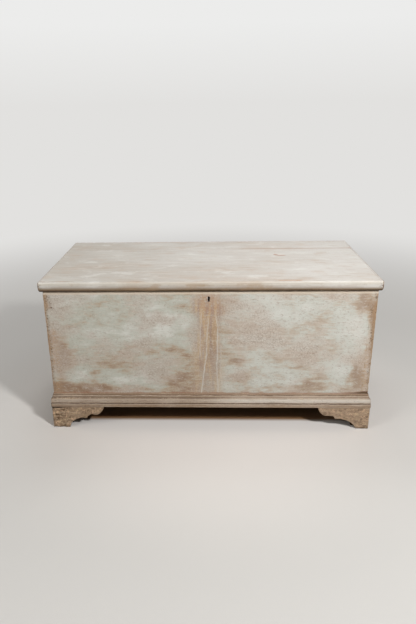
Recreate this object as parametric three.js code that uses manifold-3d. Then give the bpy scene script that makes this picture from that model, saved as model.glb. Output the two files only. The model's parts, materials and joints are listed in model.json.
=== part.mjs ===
// A painted pine blanket chest: dovetailed case, moulded base on bracket feet, and a lid of
// two boards with a bullnose moulding, hung on butt hinges and shut by a small chest lock.
// Millimetres, +X to the right of the front, +Y to the back, +Z up, standing on z = 0.
import * as THREE from "three";
import { mergeVertices } from "three/addons/utils/BufferGeometryUtils.js";
import Module from "manifold-3d";

const wasm = await Module();
wasm.setup();

// Case
const caseWidth = 1122;
const caseDepth = 545;
const wallHeight = 430.9;
const boardThickness = 22;
const bottomThickness = 18;
const bottomBoardCount = 3;
const footHeight = 85.1;

// Clearances, and how far a cutter runs past what it cuts
const fitGap = 0.3;
const overrun = 5;
const mergeTolerance = 0.001;

// Dovetails: tails on the front and back boards, pins on the sides
const tailCount = 6;
const pinNarrowWidth = 12;
const dovetailSlopeShare = 1 / 6;

// Base moulding, from the top: fillet, bead, cove, riser, ovolo, quirk and fascia
const mouldingHeight = 52.2;
const mouldingProjection = 12.4;
const mouldingFilletHeight = 8;
const mouldingFilletProjection = 2.2;
const mouldingBeadHeight = 5;
const mouldingBeadProjection = 4.8;
const mouldingCoveHeight = 3.8;
const mouldingCoveProjection = 7.2;
const mouldingRiserHeight = 1.8;
const mouldingRiserSetBack = 1;
const mouldingOvoloHeight = 17;
const mouldingOvoloProjection = 11.4;
const mouldingQuirkHeight = 2.4;
const mouldingQuirkProjection = 9.6;
const mouldingArrisRadius = 1.8;

// Bracket feet. The scrolled edge runs from the pad through an arch, a shelf, a step and a
// landing to a last sweep. Runs are shares of the bracket's length from its outer end, and
// heights are shares of the foot's. The two front brackets were sawn a little differently.
const footSetBack = 1.4;
const bracketThickness = 20;
const leftBracketLength = 190;
const rightBracketLength = 183;
const returnBracketLength = 170;
const rearBracketLength = 120;
const leftPadWidth = 61;
const rightPadWidth = 44;
const returnPadWidth = 52;
const leftArchAngle = 5;
const rightArchAngle = 30;
const returnArchAngle = 15;
const archRunShare = 0.58;
const archHeightShare = 0.455;
const shelfRunShare = 0.665;
const stepRunShare = 0.775;
const stepHeightShare = 0.61;
const landingRunShare = 0.87;
const rearShoulderShare = 0.7;
const sweepAngle = 50;
const glueBlockSide = 38;
const glueBlockFloorClearance = 3;

// Lid
const lidThickness = 24;
const lidSeatGap = 0.4;
const lidSideClearance = 1.8;
const lidMouldingThickness = 9.8;
const lidMouldingDrop = 11.7;
const noseTopRadius = 6.5;
const noseBottomWidth = 8.6;
const noseBottomHeight = 14;
const rearLidBoardWidth = 122;
const tongueThickness = 8;
const tongueLength = 8;

// Butt hinges
const hingeInset = 190;
const hingeLength = 76;
const knuckleCount = 5;
const knuckleRadius = 3.6;
const knuckleClearance = 0.6;
const knuckleEndGap = 0.4;
const leafThickness = 2.4;
const leafWidth = 19;
const hingePinRadius = 1.75;
const hingePinClearance = 0.25;
const hingePinHeadRadius = 2.9;
const hingePinHeadHeight = 1.2;
const hingeScrewPitch = 27;
const hingeScrewStagger = 3;

// Countersunk wood screws
const screwLength = 14;
const screwHeadRadius = 3.6;
const screwHeadHeight = 2.2;
const screwShankRadius = 1.7;
const screwTipRadius = 0.6;
const screwTipLength = 4;
const screwSlotWidth = 0.9;
const screwSlotDepth = 0.8;

// Chest lock in the front board. Drops are measured down from the board's top edge.
const keyholeDrop = 36;
const keyholeRadius = 3.8;
const keyholeLegWidth = 4.8;
const keyholeLegLength = 11;
const keyholeWood = 5.6;
const escutcheonWall = 1.6;
const escutcheonDepth = 3;
const lockPlateThickness = 1.8;
const lockPlateMargin = 14;
const lockPlateFoot = 6;
const lockScrewDrop = 13;
const selvedgeLap = 0.9;
const capWall = 1.2;
const capEndRoom = 0.8;
const capFootRoom = 9;
const drillPinRadius = 1.5;
const drillPinSetBack = 1.4;
const boltTravel = 10;
const boltDrop = 7.5;
const boltWidth = 30;
const boltThickness = 8;
const keyBitRoom = 8;
const talonWidth = 8;
const talonDepth = 6;
const fingerInset = 1.3;
const fingerHeight = 8;
const fingerThickness = 3;
const springThickness = 0.8;
const springWidth = 5;
const springLength = 26;
const springInset = 1;

// Strike on the lid, with the staple that takes the bolt
const strikeWidth = 44;
const strikeDepth = 16;
const strikeThickness = 1.6;
const strikeScrewInset = 6;
const stapleThickness = 3;
const stapleWire = 1.8;
const fingerSideRoom = 0.7;
const stapleClearance = 1;

// How finely curves are cut
const turnedSegments = 20;
const screwSegments = 12;
const arcSteps = 6;
const keyholeSteps = 12;
const springSteps = 6;

// Levels and reaches worked out from the sizes above
const halfWidth = caseWidth / 2;
const baseLevel = footHeight + fitGap;
const wallTop = baseLevel + bottomThickness + fitGap + wallHeight;
const lidLevel = wallTop + lidSeatGap;
const footReach = mouldingProjection - footSetBack;
const lidBoardEnd = halfWidth + lidSideClearance - fitGap;
const lidBoardFront = fitGap - lidSideClearance;
const lidJointY = caseDepth - rearLidBoardWidth;
const lidReach = lidSideClearance + lidMouldingThickness;
const hingeSetback = knuckleRadius + knuckleClearance;
const hingeAxisY = caseDepth + hingeSetback;
const hingeX = halfWidth - hingeInset;
const frontReach = Math.max(mouldingProjection, lidReach);
const backReach = hingeAxisY + knuckleRadius;

// What sets one scrolled bracket apart from another
const leftScroll = { length: leftBracketLength, padWidth: leftPadWidth, archAngle: leftArchAngle };
const rightScroll = { length: rightBracketLength, padWidth: rightPadWidth, archAngle: rightArchAngle };
const returnScroll = {
  length: returnBracketLength,
  padWidth: returnPadWidth,
  archAngle: returnArchAngle,
};

// Where the lock's pieces lie: x from the keyhole, y from the board's face
const lockPlateY = boardThickness - lockPlateThickness;
const capY = keyholeWood + fitGap;
const boltRight = boltWidth / 2 - boltTravel / 2;
const boltLeft = boltRight - boltWidth;
const fingerEnd = boltRight + boltTravel;
const capHalfWidth = fingerEnd + boltTravel + capEndRoom + capWall;
const capTop = -lockPlateThickness - fitGap;
const capBottom = -keyholeDrop - keyholeLegLength - capFootRoom;
const lockPlateHalfWidth = capHalfWidth + lockPlateMargin;
const lockPlateBottom = capBottom - lockPlateFoot;
const selvedgeY = capY - selvedgeLap;
const boltBottom = keyBitRoom - keyholeDrop;
const fingerTop = -boltDrop - fingerInset;
const stapleHalfDepth = fingerThickness / 2 + fingerSideRoom + stapleWire;
const stapleX = fingerEnd + stapleClearance + stapleThickness / 2;
const stapleY = lockPlateY - fitGap - stapleClearance - stapleHalfDepth;

const axisX = new THREE.Vector3(1, 0, 0);
const axisY = new THREE.Vector3(0, 1, 0);
const axisZ = new THREE.Vector3(0, 0, 1);
const facingUp = [0, 0, 0];
const facingDown = [Math.PI, 0, 0];
const facingBack = [-Math.PI / 2, 0, 0];

const paintedCase = finish("#b4ae9c", 0.78, 0);
const paintedLid = finish("#c2bbad", 0.62, 0);
const paintedBase = finish("#968676", 0.8, 0);
const barePine = finish("#a9855a", 0.85, 0);
const darkIron = finish("#3d3833", 0.6, 0.8);
const wornSteel = finish("#8d8b86", 0.4, 0.9);

function finish(color, roughness, metalness) {
  return new THREE.MeshStandardMaterial({ color, roughness, metalness });
}

// Turning geometries into solids and back

function toSolid(geometry) {
  const source = geometry.index ? geometry.toNonIndexed() : geometry;
  const bare = new THREE.BufferGeometry();
  bare.setAttribute("position", source.getAttribute("position"));
  const merged = mergeVertices(bare, mergeTolerance);
  const mesh = new wasm.Mesh({
    numProp: 3,
    vertProperties: merged.attributes.position.array,
    triVerts: new Uint32Array(merged.index.array),
  });
  return new wasm.Manifold(mesh);
}

function toGeometry(solid) {
  const mesh = solid.getMesh();
  const corners = new Float32Array(mesh.vertProperties);
  const triangles = new Uint32Array(mesh.triVerts);
  const geometry = new THREE.BufferGeometry();
  geometry.setAttribute("position", new THREE.BufferAttribute(corners, mesh.numProp));
  geometry.setIndex(new THREE.BufferAttribute(triangles, 1));
  geometry.computeVertexNormals();
  return geometry;
}

function cut(geometry, cutters) {
  return toGeometry(cutters.reduce((left, cutter) => left.subtract(toSolid(cutter)), toSolid(geometry)));
}

function join([first, ...others]) {
  return toGeometry(others.reduce((all, next) => all.add(toSolid(next)), toSolid(first)));
}

function overlap(geometry, other) {
  return toGeometry(toSolid(geometry).intersect(toSolid(other)));
}

// Basic forms

function block(corner, opposite) {
  const size = corner.map((value, axis) => Math.abs(opposite[axis] - value));
  const middle = corner.map((value, axis) => (opposite[axis] + value) / 2);
  return new THREE.BoxGeometry(...size).translate(...middle);
}

function extrude(points, length) {
  const shape = new THREE.Shape(points.map(([u, v]) => new THREE.Vector2(u, v)));
  return new THREE.ExtrudeGeometry(shape, { depth: length, bevelEnabled: false });
}

// From an outline in (y, z)
function prismAlongX(points, start, end) {
  const turn = new THREE.Matrix4().makeBasis(axisY, axisZ, axisX);
  return extrude(points, end - start).applyMatrix4(turn).translate(start, 0, 0);
}

// From an outline in (x, z)
function prismAlongY(points, start, end) {
  const turn = new THREE.Matrix4().makeBasis(axisX, axisZ, axisY.clone().negate());
  return extrude(points, end - start).applyMatrix4(turn).translate(0, end, 0);
}

// From an outline in (x, y)
function prismAlongZ(points, start, end) {
  return extrude(points, end - start).translate(0, 0, start);
}

// A turned piece about +Z, from [radius, height] points that start and end on the axis
function turned(profile, segments) {
  const points = profile.map(([radius, height]) => new THREE.Vector2(radius, height));
  return new THREE.LatheGeometry(points, segments).rotateX(Math.PI / 2);
}

function rodAlongX(radius, start, end) {
  const rod = turned([[0, start], [radius, start], [radius, end], [0, end]], turnedSegments);
  return rod.rotateY(Math.PI / 2);
}

// Points of an elliptical arc about (u, v), between two angles in degrees
function arc(u, v, radiusU, radiusV, from, to, steps = arcSteps) {
  return Array.from({ length: steps + 1 }, (_, i) => {
    const angle = THREE.MathUtils.degToRad(from + ((to - from) * i) / steps);
    return [u + radiusU * Math.cos(angle), v + radiusV * Math.sin(angle)];
  });
}

function onSide(points, side) {
  return points.map(([x, y]) => [side * x, y]);
}

// Plans of the pieces that run round the case's front corners, parted along the mitre.
// They reach out from the case's faces, and end inside them by the inset.
function frontPlan(reach, inset) {
  const mitre = halfWidth - fitGap * Math.SQRT1_2;
  return [
    [-mitre - reach, -reach],
    [mitre + reach, -reach],
    [mitre - inset, inset],
    [inset - mitre, inset],
  ];
}

function sidePlan(reach, inset) {
  const mitreGap = fitGap * Math.SQRT1_2;
  return [
    [halfWidth + reach, mitreGap - reach],
    [halfWidth + reach, caseDepth],
    [halfWidth - inset, caseDepth],
    [halfWidth - inset, mitreGap + inset],
  ];
}

function frontMoulding(section, reach, inset, low, high) {
  const outline = section.map(([out, height]) => [-out, height]);
  const run = prismAlongX(outline, -halfWidth - reach, halfWidth + reach);
  const plan = frontPlan(reach + overrun, inset + overrun);
  return overlap(run, prismAlongZ(plan, low - overrun, high + overrun));
}

function sideMoulding(side, section, reach, inset, low, high) {
  const outline = section.map(([out, height]) => [side * (halfWidth + out), height]);
  const run = prismAlongY(outline, -reach, caseDepth);
  const plan = onSide(sidePlan(reach + overrun, inset + overrun), side);
  return overlap(run, prismAlongZ(plan, low - overrun, high + overrun));
}

// Screws. The flat of the head lies at z = 0 and faces up.

function screwProfile(grow, top) {
  return [
    [0, -screwLength - grow],
    [screwTipRadius + grow, -screwLength - grow],
    [screwShankRadius + grow, screwTipLength - screwLength],
    [screwShankRadius + grow, -screwHeadHeight - grow],
    [screwHeadRadius + grow, -grow],
    [screwHeadRadius + grow, top],
    [0, top],
  ];
}

function screwGeometry() {
  const profile = screwProfile(0, 0).filter((_, i, all) => i !== all.length - 2);
  const half = screwHeadRadius + overrun;
  const slot = block([-half, -screwSlotWidth / 2, -screwSlotDepth], [half, screwSlotWidth / 2, overrun]);
  return cut(turned(profile, screwSegments), [slot]);
}

function screwHole(place, facing) {
  const turn = new THREE.Matrix4().makeRotationFromEuler(new THREE.Euler(...facing));
  return turned(screwProfile(fitGap, overrun), screwSegments).applyMatrix4(turn).translate(...place);
}

// Walls, with z = 0 at their top edge

function tailBoardOutline() {
  const shoulder = halfWidth - boardThickness - fitGap;
  const pitch = wallHeight / tailCount;
  const outer = pinNarrowWidth / 2;
  const inner = outer + dovetailSlopeShare * (halfWidth - shoulder);
  const right = [[shoulder, -wallHeight]];
  for (let i = 0; i < tailCount; i += 1) {
    const low = i * pitch - wallHeight;
    const high = low + pitch;
    right.push([shoulder, low + inner], [halfWidth, low + outer]);
    right.push([halfWidth, high - outer], [shoulder, high - inner]);
  }
  right.push([shoulder, 0]);
  return [...right, ...onSide(right, -1).reverse()];
}

function frontBoardGeometry() {
  const board = prismAlongY(tailBoardOutline(), 0, boardThickness);
  const plateSide = lockPlateHalfWidth + fitGap;
  const capSide = capHalfWidth + fitGap;
  const behind = boardThickness + overrun;
  return cut(board, [
    block([-plateSide, lockPlateY - fitGap, lockPlateBottom - fitGap], [plateSide, behind, overrun]),
    block([-plateSide, selvedgeY - fitGap, capTop], [plateSide, behind, overrun]),
    block([-capSide, keyholeWood, capBottom - fitGap], [capSide, behind, overrun]),
    keyholeForm(escutcheonWall + fitGap, -overrun, escutcheonDepth + fitGap),
    keyholeForm(0, 0, capY),
    ...lockScrewPlaces().map((place) => screwHole(place, facingBack)),
  ]);
}

function backBoardGeometry() {
  const board = prismAlongY(tailBoardOutline(), caseDepth - boardThickness, caseDepth);
  const holes = hingeScrewPlaces().map((place) => screwHole(place, facingUp));
  return cut(board, [...hingeMortises(-1), ...holes]);
}

// One pin of a side board, in (x, z), as wide as the socket between two tails allows
function pinOutline(side, middle) {
  const outer = pinNarrowWidth / 2 - fitGap;
  const inner = outer + dovetailSlopeShare * boardThickness;
  const face = side * halfWidth;
  const back = side * (halfWidth - boardThickness);
  const within = (z) => Math.min(Math.max(z, -wallHeight), 0);
  return [
    [face, within(middle - outer)],
    [back, within(middle - inner)],
    [back, within(middle + inner)],
    [face, within(middle + outer)],
  ];
}

function sideBoardGeometry(side) {
  const shoulder = boardThickness + fitGap;
  const body = block(
    [side * halfWidth, shoulder, -wallHeight],
    [side * (halfWidth - boardThickness), caseDepth - shoulder, 0],
  );
  const pins = Array.from({ length: tailCount + 1 }, (_, i) => {
    const outline = pinOutline(side, (i * wallHeight) / tailCount - wallHeight);
    return [
      prismAlongY(outline, 0, 2 * boardThickness),
      prismAlongY(outline, caseDepth - 2 * boardThickness, caseDepth),
    ];
  });
  return join([body, ...pins.flat()]);
}

// Lock, with z = 0 at the front board's top edge

// The keyhole's form, grown all round: a round with a leg below it
function keyholeForm(grow, start, end) {
  const radius = keyholeRadius + grow;
  const half = keyholeLegWidth / 2 + grow;
  const foot = -keyholeDrop - keyholeLegLength - grow;
  const meet = THREE.MathUtils.radToDeg(Math.asin(half / radius));
  const round = arc(0, -keyholeDrop, radius, radius, meet - 90, 270 - meet, keyholeSteps);
  return prismAlongY([[-half, foot], [half, foot], ...round], start, end);
}

function escutcheonGeometry() {
  const outer = keyholeForm(escutcheonWall, 0, escutcheonDepth);
  return cut(outer, [keyholeForm(0, -overrun, escutcheonDepth + overrun)]);
}

function lockScrewPlaces() {
  const x = lockPlateHalfWidth - lockPlateMargin / 2;
  const drops = [-lockScrewDrop, lockPlateBottom + lockScrewDrop];
  return drops.flatMap((z) => [[-x, boardThickness, z], [x, boardThickness, z]]);
}

function lockPlateGeometry() {
  const section = [
    [lockPlateY, lockPlateBottom],
    [boardThickness, lockPlateBottom],
    [boardThickness, 0],
    [selvedgeY, 0],
    [selvedgeY, -lockPlateThickness],
    [lockPlateY, -lockPlateThickness],
  ];
  const slotX = stapleThickness / 2 + stapleClearance;
  const slotY = stapleHalfDepth + stapleClearance;
  return cut(prismAlongX(section, -lockPlateHalfWidth, lockPlateHalfWidth), [
    block([stapleX - slotX, stapleY - slotY, -overrun], [stapleX + slotX, stapleY + slotY, overrun]),
    ...lockScrewPlaces().map((place) => screwHole(place, facingBack)),
  ]);
}

function lockCapGeometry() {
  const back = lockPlateY - fitGap;
  const inside = capHalfWidth - capWall;
  return cut(block([-capHalfWidth, capY, capBottom], [capHalfWidth, back, capTop]), [
    block([-inside, capY + capWall, capBottom + capWall], [inside, back + overrun, capTop + overrun]),
    keyholeForm(0, capY - overrun, capY + overrun),
  ]);
}

function drillPinGeometry() {
  const length = lockPlateY - fitGap - (capY + capWall + drillPinSetBack);
  const profile = [[0, -length], [drillPinRadius, -length], [drillPinRadius, 0], [0, 0]];
  return turned(profile, turnedSegments);
}

function boltGeometry() {
  const back = lockPlateY - fitGap;
  const side = fingerThickness / 2;
  const middle = -boltTravel / 2;
  const body = block([boltLeft, back - boltThickness, boltBottom], [boltRight, back, -boltDrop]);
  const finger = block(
    [boltRight - fingerInset, stapleY - side, fingerTop - fingerHeight],
    [fingerEnd, stapleY + side, fingerTop],
  );
  const talon = block(
    [middle - talonWidth / 2, back - boltThickness - overrun, boltBottom - overrun],
    [middle + talonWidth / 2, back + overrun, boltBottom + talonDepth],
  );
  return cut(join([body, finger]), [talon]);
}

// A flat spring fixed to the bolt's left end, bowed up against the selvedge
function springGeometry() {
  const low = fitGap - boltDrop;
  const rise = -lockPlateThickness - fitGap - springThickness - low;
  const start = boltLeft + springInset;
  const shares = Array.from({ length: springSteps + 1 }, (_, i) => i / springSteps);
  const under = shares.map((share) => [start + share * springLength, low + share ** 2 * rise]);
  const over = under.map(([x, z]) => [x, z + springThickness]).reverse();
  const middle = lockPlateY - fitGap - boltThickness / 2;
  return prismAlongY([...under, ...over], middle - springWidth / 2, middle + springWidth / 2);
}

// Base, with z = 0 at the bottom boards' underside

function bottomBoardGeometry() {
  const depth = (caseDepth - (bottomBoardCount - 1) * fitGap) / bottomBoardCount;
  return block([-halfWidth, 0, 0], [halfWidth, depth, bottomThickness]);
}

function baseMouldingSection() {
  const arris = mouldingArrisRadius;
  const beadTop = mouldingHeight - mouldingFilletHeight;
  const coveTop = beadTop - mouldingBeadHeight;
  const ovoloTop = coveTop - mouldingCoveHeight - mouldingRiserHeight;
  const ovoloFoot = ovoloTop - mouldingOvoloHeight;
  const fasciaTop = ovoloFoot - mouldingQuirkHeight;
  const ledge = mouldingCoveProjection + mouldingRiserSetBack;
  const ovoloBulge = mouldingOvoloProjection - ledge;
  const coveHollow = mouldingCoveProjection - mouldingBeadProjection;
  return [
    [fitGap, 0],
    ...arc(mouldingProjection - arris, arris, arris, arris, -90, 0),
    ...arc(mouldingProjection - arris, fasciaTop - arris, arris, arris, 0, 90),
    [mouldingQuirkProjection, fasciaTop],
    [mouldingQuirkProjection, ovoloFoot],
    ...arc(ledge, ovoloFoot, ovoloBulge, mouldingOvoloHeight, 0, 90),
    [mouldingCoveProjection, ovoloTop],
    ...arc(mouldingCoveProjection, coveTop, coveHollow, mouldingCoveHeight, 270, 180),
    [mouldingBeadProjection, beadTop],
    [mouldingFilletProjection, beadTop],
    [mouldingFilletProjection, mouldingHeight],
    [fitGap, mouldingHeight],
  ];
}

// Feet, with z = 0 on the floor

// A bracket's outline from its outer end: the distance along it, and the height. The arch is
// part of an ellipse that leaves the pad at the arch angle.
function scrolledOutline({ length, padWidth, archAngle }) {
  const archEnd = archRunShare * length;
  const stepEnd = stepRunShare * length;
  const stepRun = stepEnd - shelfRunShare * length;
  const shelf = archHeightShare * footHeight;
  const landing = stepHeightShare * footHeight;
  const spring = THREE.MathUtils.degToRad(archAngle);
  const archRun = (archEnd - padWidth) / Math.cos(spring);
  const archRise = shelf / (1 - Math.sin(spring));
  const sweep = THREE.MathUtils.degToRad(sweepAngle);
  const sweepRun = (length - landingRunShare * length) / (1 - Math.cos(sweep));
  const sweepRise = (footHeight - landing) / Math.sin(sweep);
  return [
    [0, 0],
    ...arc(archEnd, shelf - archRise, archRun, archRise, 180 - archAngle, 90),
    ...arc(stepEnd, shelf, stepRun, landing - shelf, 180, 90),
    ...arc(length - sweepRun, footHeight, sweepRun, sweepRise, -sweepAngle, 0),
    [0, footHeight],
  ];
}

function frontBracketGeometry(side, scroll) {
  const outline = scrolledOutline(scroll);
  const placed = outline.map(([along, height]) => [side * (halfWidth + footReach - along), height]);
  const inset = bracketThickness - footReach;
  const plan = frontPlan(footReach + overrun, inset + overrun);
  const run = prismAlongY(placed, -footReach, inset);
  return overlap(run, prismAlongZ(plan, -overrun, footHeight + overrun));
}

function frontReturnGeometry(side) {
  const outline = scrolledOutline(returnScroll);
  const placed = outline.map(([along, height]) => [along - footReach, height]);
  const faces = [side * (halfWidth + footReach), side * (halfWidth + footReach - bracketThickness)];
  const plan = onSide(sidePlan(footReach + overrun, bracketThickness - footReach + overrun), side);
  const run = prismAlongX(placed, Math.min(...faces), Math.max(...faces));
  return overlap(run, prismAlongZ(plan, -overrun, footHeight + overrun));
}

function rearReturnGeometry(side) {
  const outline = scrolledOutline(returnScroll);
  const placed = outline.map(([along, height]) => [caseDepth - along, height]);
  const faces = [side * (halfWidth + footReach), side * (halfWidth + footReach - bracketThickness)];
  return prismAlongX(placed, Math.min(...faces), Math.max(...faces));
}

// The plain bracket across the back, butted between the side brackets
function rearBracketGeometry(side) {
  const start = halfWidth + footReach - bracketThickness - fitGap;
  const outline = [
    [start, 0],
    [start - returnPadWidth, 0],
    [start - rearBracketLength, rearShoulderShare * footHeight],
    [start - rearBracketLength, footHeight],
    [start, footHeight],
  ];
  return prismAlongY(onSide(outline, side), caseDepth - bracketThickness, caseDepth);
}

function glueBlockGeometry() {
  return block([0, 0, glueBlockFloorClearance], [glueBlockSide, glueBlockSide, footHeight]);
}

// Lid, with z = 0 at its underside

function frontLidBoardGeometry() {
  const edge = lidJointY - fitGap / 2;
  const groove = tongueThickness / 2 + fitGap;
  const depth = tongueLength + fitGap;
  const middle = lidThickness / 2;
  const outline = [
    [lidBoardFront, 0],
    [edge, 0],
    [edge, middle - groove],
    [edge - depth, middle - groove],
    [edge - depth, middle + groove],
    [edge, middle + groove],
    [edge, lidThickness],
    [lidBoardFront, lidThickness],
  ];
  const halfStrike = strikeWidth / 2 + fitGap;
  const halfDepth = strikeDepth / 2 + fitGap;
  return cut(prismAlongX(outline, -lidBoardEnd, lidBoardEnd), [
    block(
      [stapleX - halfStrike, stapleY - halfDepth, -overrun],
      [stapleX + halfStrike, stapleY + halfDepth, strikeThickness + fitGap],
    ),
    ...strikeScrewPlaces().map((place) => screwHole(place, facingDown)),
  ]);
}

function rearLidBoardGeometry() {
  const edge = lidJointY + fitGap / 2;
  const middle = lidThickness / 2;
  const outline = [
    [edge, 0],
    [caseDepth, 0],
    [caseDepth, lidThickness],
    [edge, lidThickness],
    [edge, middle + tongueThickness / 2],
    [edge - tongueLength, middle + tongueThickness / 2],
    [edge - tongueLength, middle - tongueThickness / 2],
    [edge, middle - tongueThickness / 2],
  ];
  const board = prismAlongX(outline, -lidBoardEnd, lidBoardEnd);
  const holes = hingeScrewPlaces().map((place) => screwHole(place, facingDown));
  return cut(board, [...hingeMortises(1), ...holes]);
}

function lidMouldingSection() {
  const top = lidThickness - noseTopRadius;
  const bottom = noseBottomHeight - lidMouldingDrop;
  return [
    [lidSideClearance, -lidMouldingDrop],
    ...arc(lidReach - noseBottomWidth, bottom, noseBottomWidth, noseBottomHeight, -90, 0),
    ...arc(lidReach - noseTopRadius, top, noseTopRadius, noseTopRadius, 0, 90),
    [lidSideClearance, lidThickness],
  ];
}

function strikeScrewPlaces() {
  const reach = strikeWidth / 2 - strikeScrewInset;
  return [-reach, reach].map((offset) => [stapleX + offset, stapleY, 0]);
}

// The strike plate with its staple, which hangs through the selvedge's slot
function strikeGeometry() {
  const eyeTop = fingerTop + stapleClearance - lidSeatGap;
  const eyeBottom = fingerTop - fingerHeight - stapleClearance - lidSeatGap;
  const side = stapleThickness / 2;
  const eyeSide = stapleHalfDepth - stapleWire;
  const plate = block(
    [stapleX - strikeWidth / 2, stapleY - strikeDepth / 2, 0],
    [stapleX + strikeWidth / 2, stapleY + strikeDepth / 2, strikeThickness],
  );
  const staple = block(
    [stapleX - side, stapleY - stapleHalfDepth, eyeBottom - stapleWire],
    [stapleX + side, stapleY + stapleHalfDepth, strikeThickness / 2],
  );
  const eye = block(
    [stapleX - side - overrun, stapleY - eyeSide, eyeBottom],
    [stapleX + side + overrun, stapleY + eyeSide, eyeTop],
  );
  const holes = strikeScrewPlaces().map((place) => screwHole(place, facingDown));
  return cut(join([plate, staple]), [eye, ...holes]);
}

// Hinges, about the pin's axis. A leaf lies above the axis on the lid (+1), below on the case (-1).

function knuckleSpans(above) {
  const pitch = (hingeLength + knuckleEndGap) / knuckleCount;
  const spans = Array.from({ length: knuckleCount }, (_, i) => {
    const start = i * pitch - hingeLength / 2;
    return [start, start + pitch - knuckleEndGap];
  });
  const first = above > 0 ? 1 : 0;
  return spans.filter((_, i) => i % 2 === first);
}

function hingeLeafGeometry(above) {
  const near = (above * lidSeatGap) / 2;
  const far = near + above * leafThickness;
  const half = hingeLength / 2;
  const edge = -hingeSetback;
  const tabEnd = -(knuckleRadius + hingePinRadius) / 2;
  const plate = block([-half, edge - leafWidth, near], [half, edge, far]);
  const knuckles = knuckleSpans(above).flatMap(([start, end]) => [
    block([start + knuckleEndGap, edge - knuckleEndGap, near], [end - knuckleEndGap, tabEnd, far]),
    rodAlongX(knuckleRadius, start, end),
  ]);
  const bore = rodAlongX(hingePinRadius + hingePinClearance, -hingeLength, hingeLength);
  const facing = above > 0 ? facingDown : facingUp;
  const holes = hingeScrewOffsets().map(([x, y]) => screwHole([x, y + edge, near], facing));
  return cut(join([plate, ...knuckles]), [bore, ...holes]);
}

function hingePinGeometry() {
  const shoulder = hingeLength / 2 + fitGap;
  const end = shoulder + hingePinHeadHeight;
  const half = [
    [hingePinRadius, shoulder],
    [hingePinHeadRadius, shoulder],
    [hingePinHeadRadius, end],
    [0, end],
  ];
  const profile = [...half.map(([radius, z]) => [radius, -z]).reverse(), ...half];
  return turned(profile, turnedSegments).rotateY(Math.PI / 2);
}

// Screw places from the hinge's middle and the board's back edge
function hingeScrewOffsets() {
  return [-1, 0, 1].map((step) => {
    const stagger = step === 0 ? hingeScrewStagger : -hingeScrewStagger;
    return [step * hingeScrewPitch, stagger - leafWidth / 2];
  });
}

function hingeScrewPlaces() {
  const offsets = hingeScrewOffsets();
  return [-hingeX, hingeX].flatMap((x) => offsets.map(([dx, dy]) => [x + dx, caseDepth + dy, 0]));
}

function hingeMortises(above) {
  const half = hingeLength / 2 + fitGap;
  const front = caseDepth - leafWidth - fitGap;
  return [-hingeX, hingeX].map((x) => block(
    [x - half, front, -above * overrun],
    [x + half, caseDepth + overrun, above * (leafThickness + fitGap)],
  ));
}

// Assembly

function piece(name, geometry, material, position = [0, 0, 0], rotation = [0, 0, 0]) {
  const mesh = new THREE.Mesh(geometry, material.clone());
  mesh.name = name;
  mesh.position.set(...position);
  mesh.rotation.set(...rotation);
  return mesh;
}

function group(position, ...pieces) {
  const holder = new THREE.Group();
  holder.position.set(...position);
  holder.add(...pieces.flat());
  return holder;
}

function screws(prefix, places, facing, material) {
  return places.map((place, i) => piece(`${prefix}_${i + 1}`, screwGeometry(), material, place, facing));
}

function walls() {
  return group(
    [0, 0, wallTop],
    piece("front_board", frontBoardGeometry(), paintedCase),
    piece("back_board", backBoardGeometry(), paintedCase),
    piece("left_side_board", sideBoardGeometry(-1), paintedCase),
    piece("right_side_board", sideBoardGeometry(1), paintedCase),
    screws("fixed_hinge_screw", hingeScrewPlaces(), facingUp, darkIron),
  );
}

function lock() {
  const pinFoot = [0, lockPlateY - fitGap, -keyholeDrop];
  return group(
    [0, 0, wallTop],
    piece("keyhole_escutcheon", escutcheonGeometry(), wornSteel),
    piece("lock_plate", lockPlateGeometry(), darkIron),
    piece("lock_cap", lockCapGeometry(), darkIron),
    piece("lock_drill_pin", drillPinGeometry(), darkIron, pinFoot, facingBack),
    piece("lock_bolt", boltGeometry(), wornSteel),
    piece("lock_bolt_spring", springGeometry(), wornSteel),
    screws("lock_screw", lockScrewPlaces(), facingBack, darkIron),
  );
}

function hinges() {
  const level = wallTop + lidSeatGap / 2;
  return [["left", -hingeX], ["right", hingeX]].map(([side, x]) => group(
    [x, hingeAxisY, level],
    piece(`${side}_hinge_fixed_leaf`, hingeLeafGeometry(-1), darkIron),
    piece(`${side}_hinge_moving_leaf`, hingeLeafGeometry(1), darkIron),
    piece(`${side}_hinge_pin`, hingePinGeometry(), wornSteel),
  ));
}

function base() {
  const section = baseMouldingSection();
  const pitch = (caseDepth + fitGap) / bottomBoardCount;
  const boards = ["front", "middle", "rear"].map((place, i) => (
    piece(`bottom_board_${place}`, bottomBoardGeometry(), barePine, [0, i * pitch, 0])
  ));
  const moulding = (name, geometry) => piece(`base_moulding_${name}`, geometry, paintedBase);
  const sizes = [section, mouldingProjection, -fitGap, 0, mouldingHeight];
  return group(
    [0, 0, baseLevel],
    boards,
    moulding("front", frontMoulding(...sizes)),
    moulding("left", sideMoulding(-1, ...sizes)),
    moulding("right", sideMoulding(1, ...sizes)),
  );
}

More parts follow.
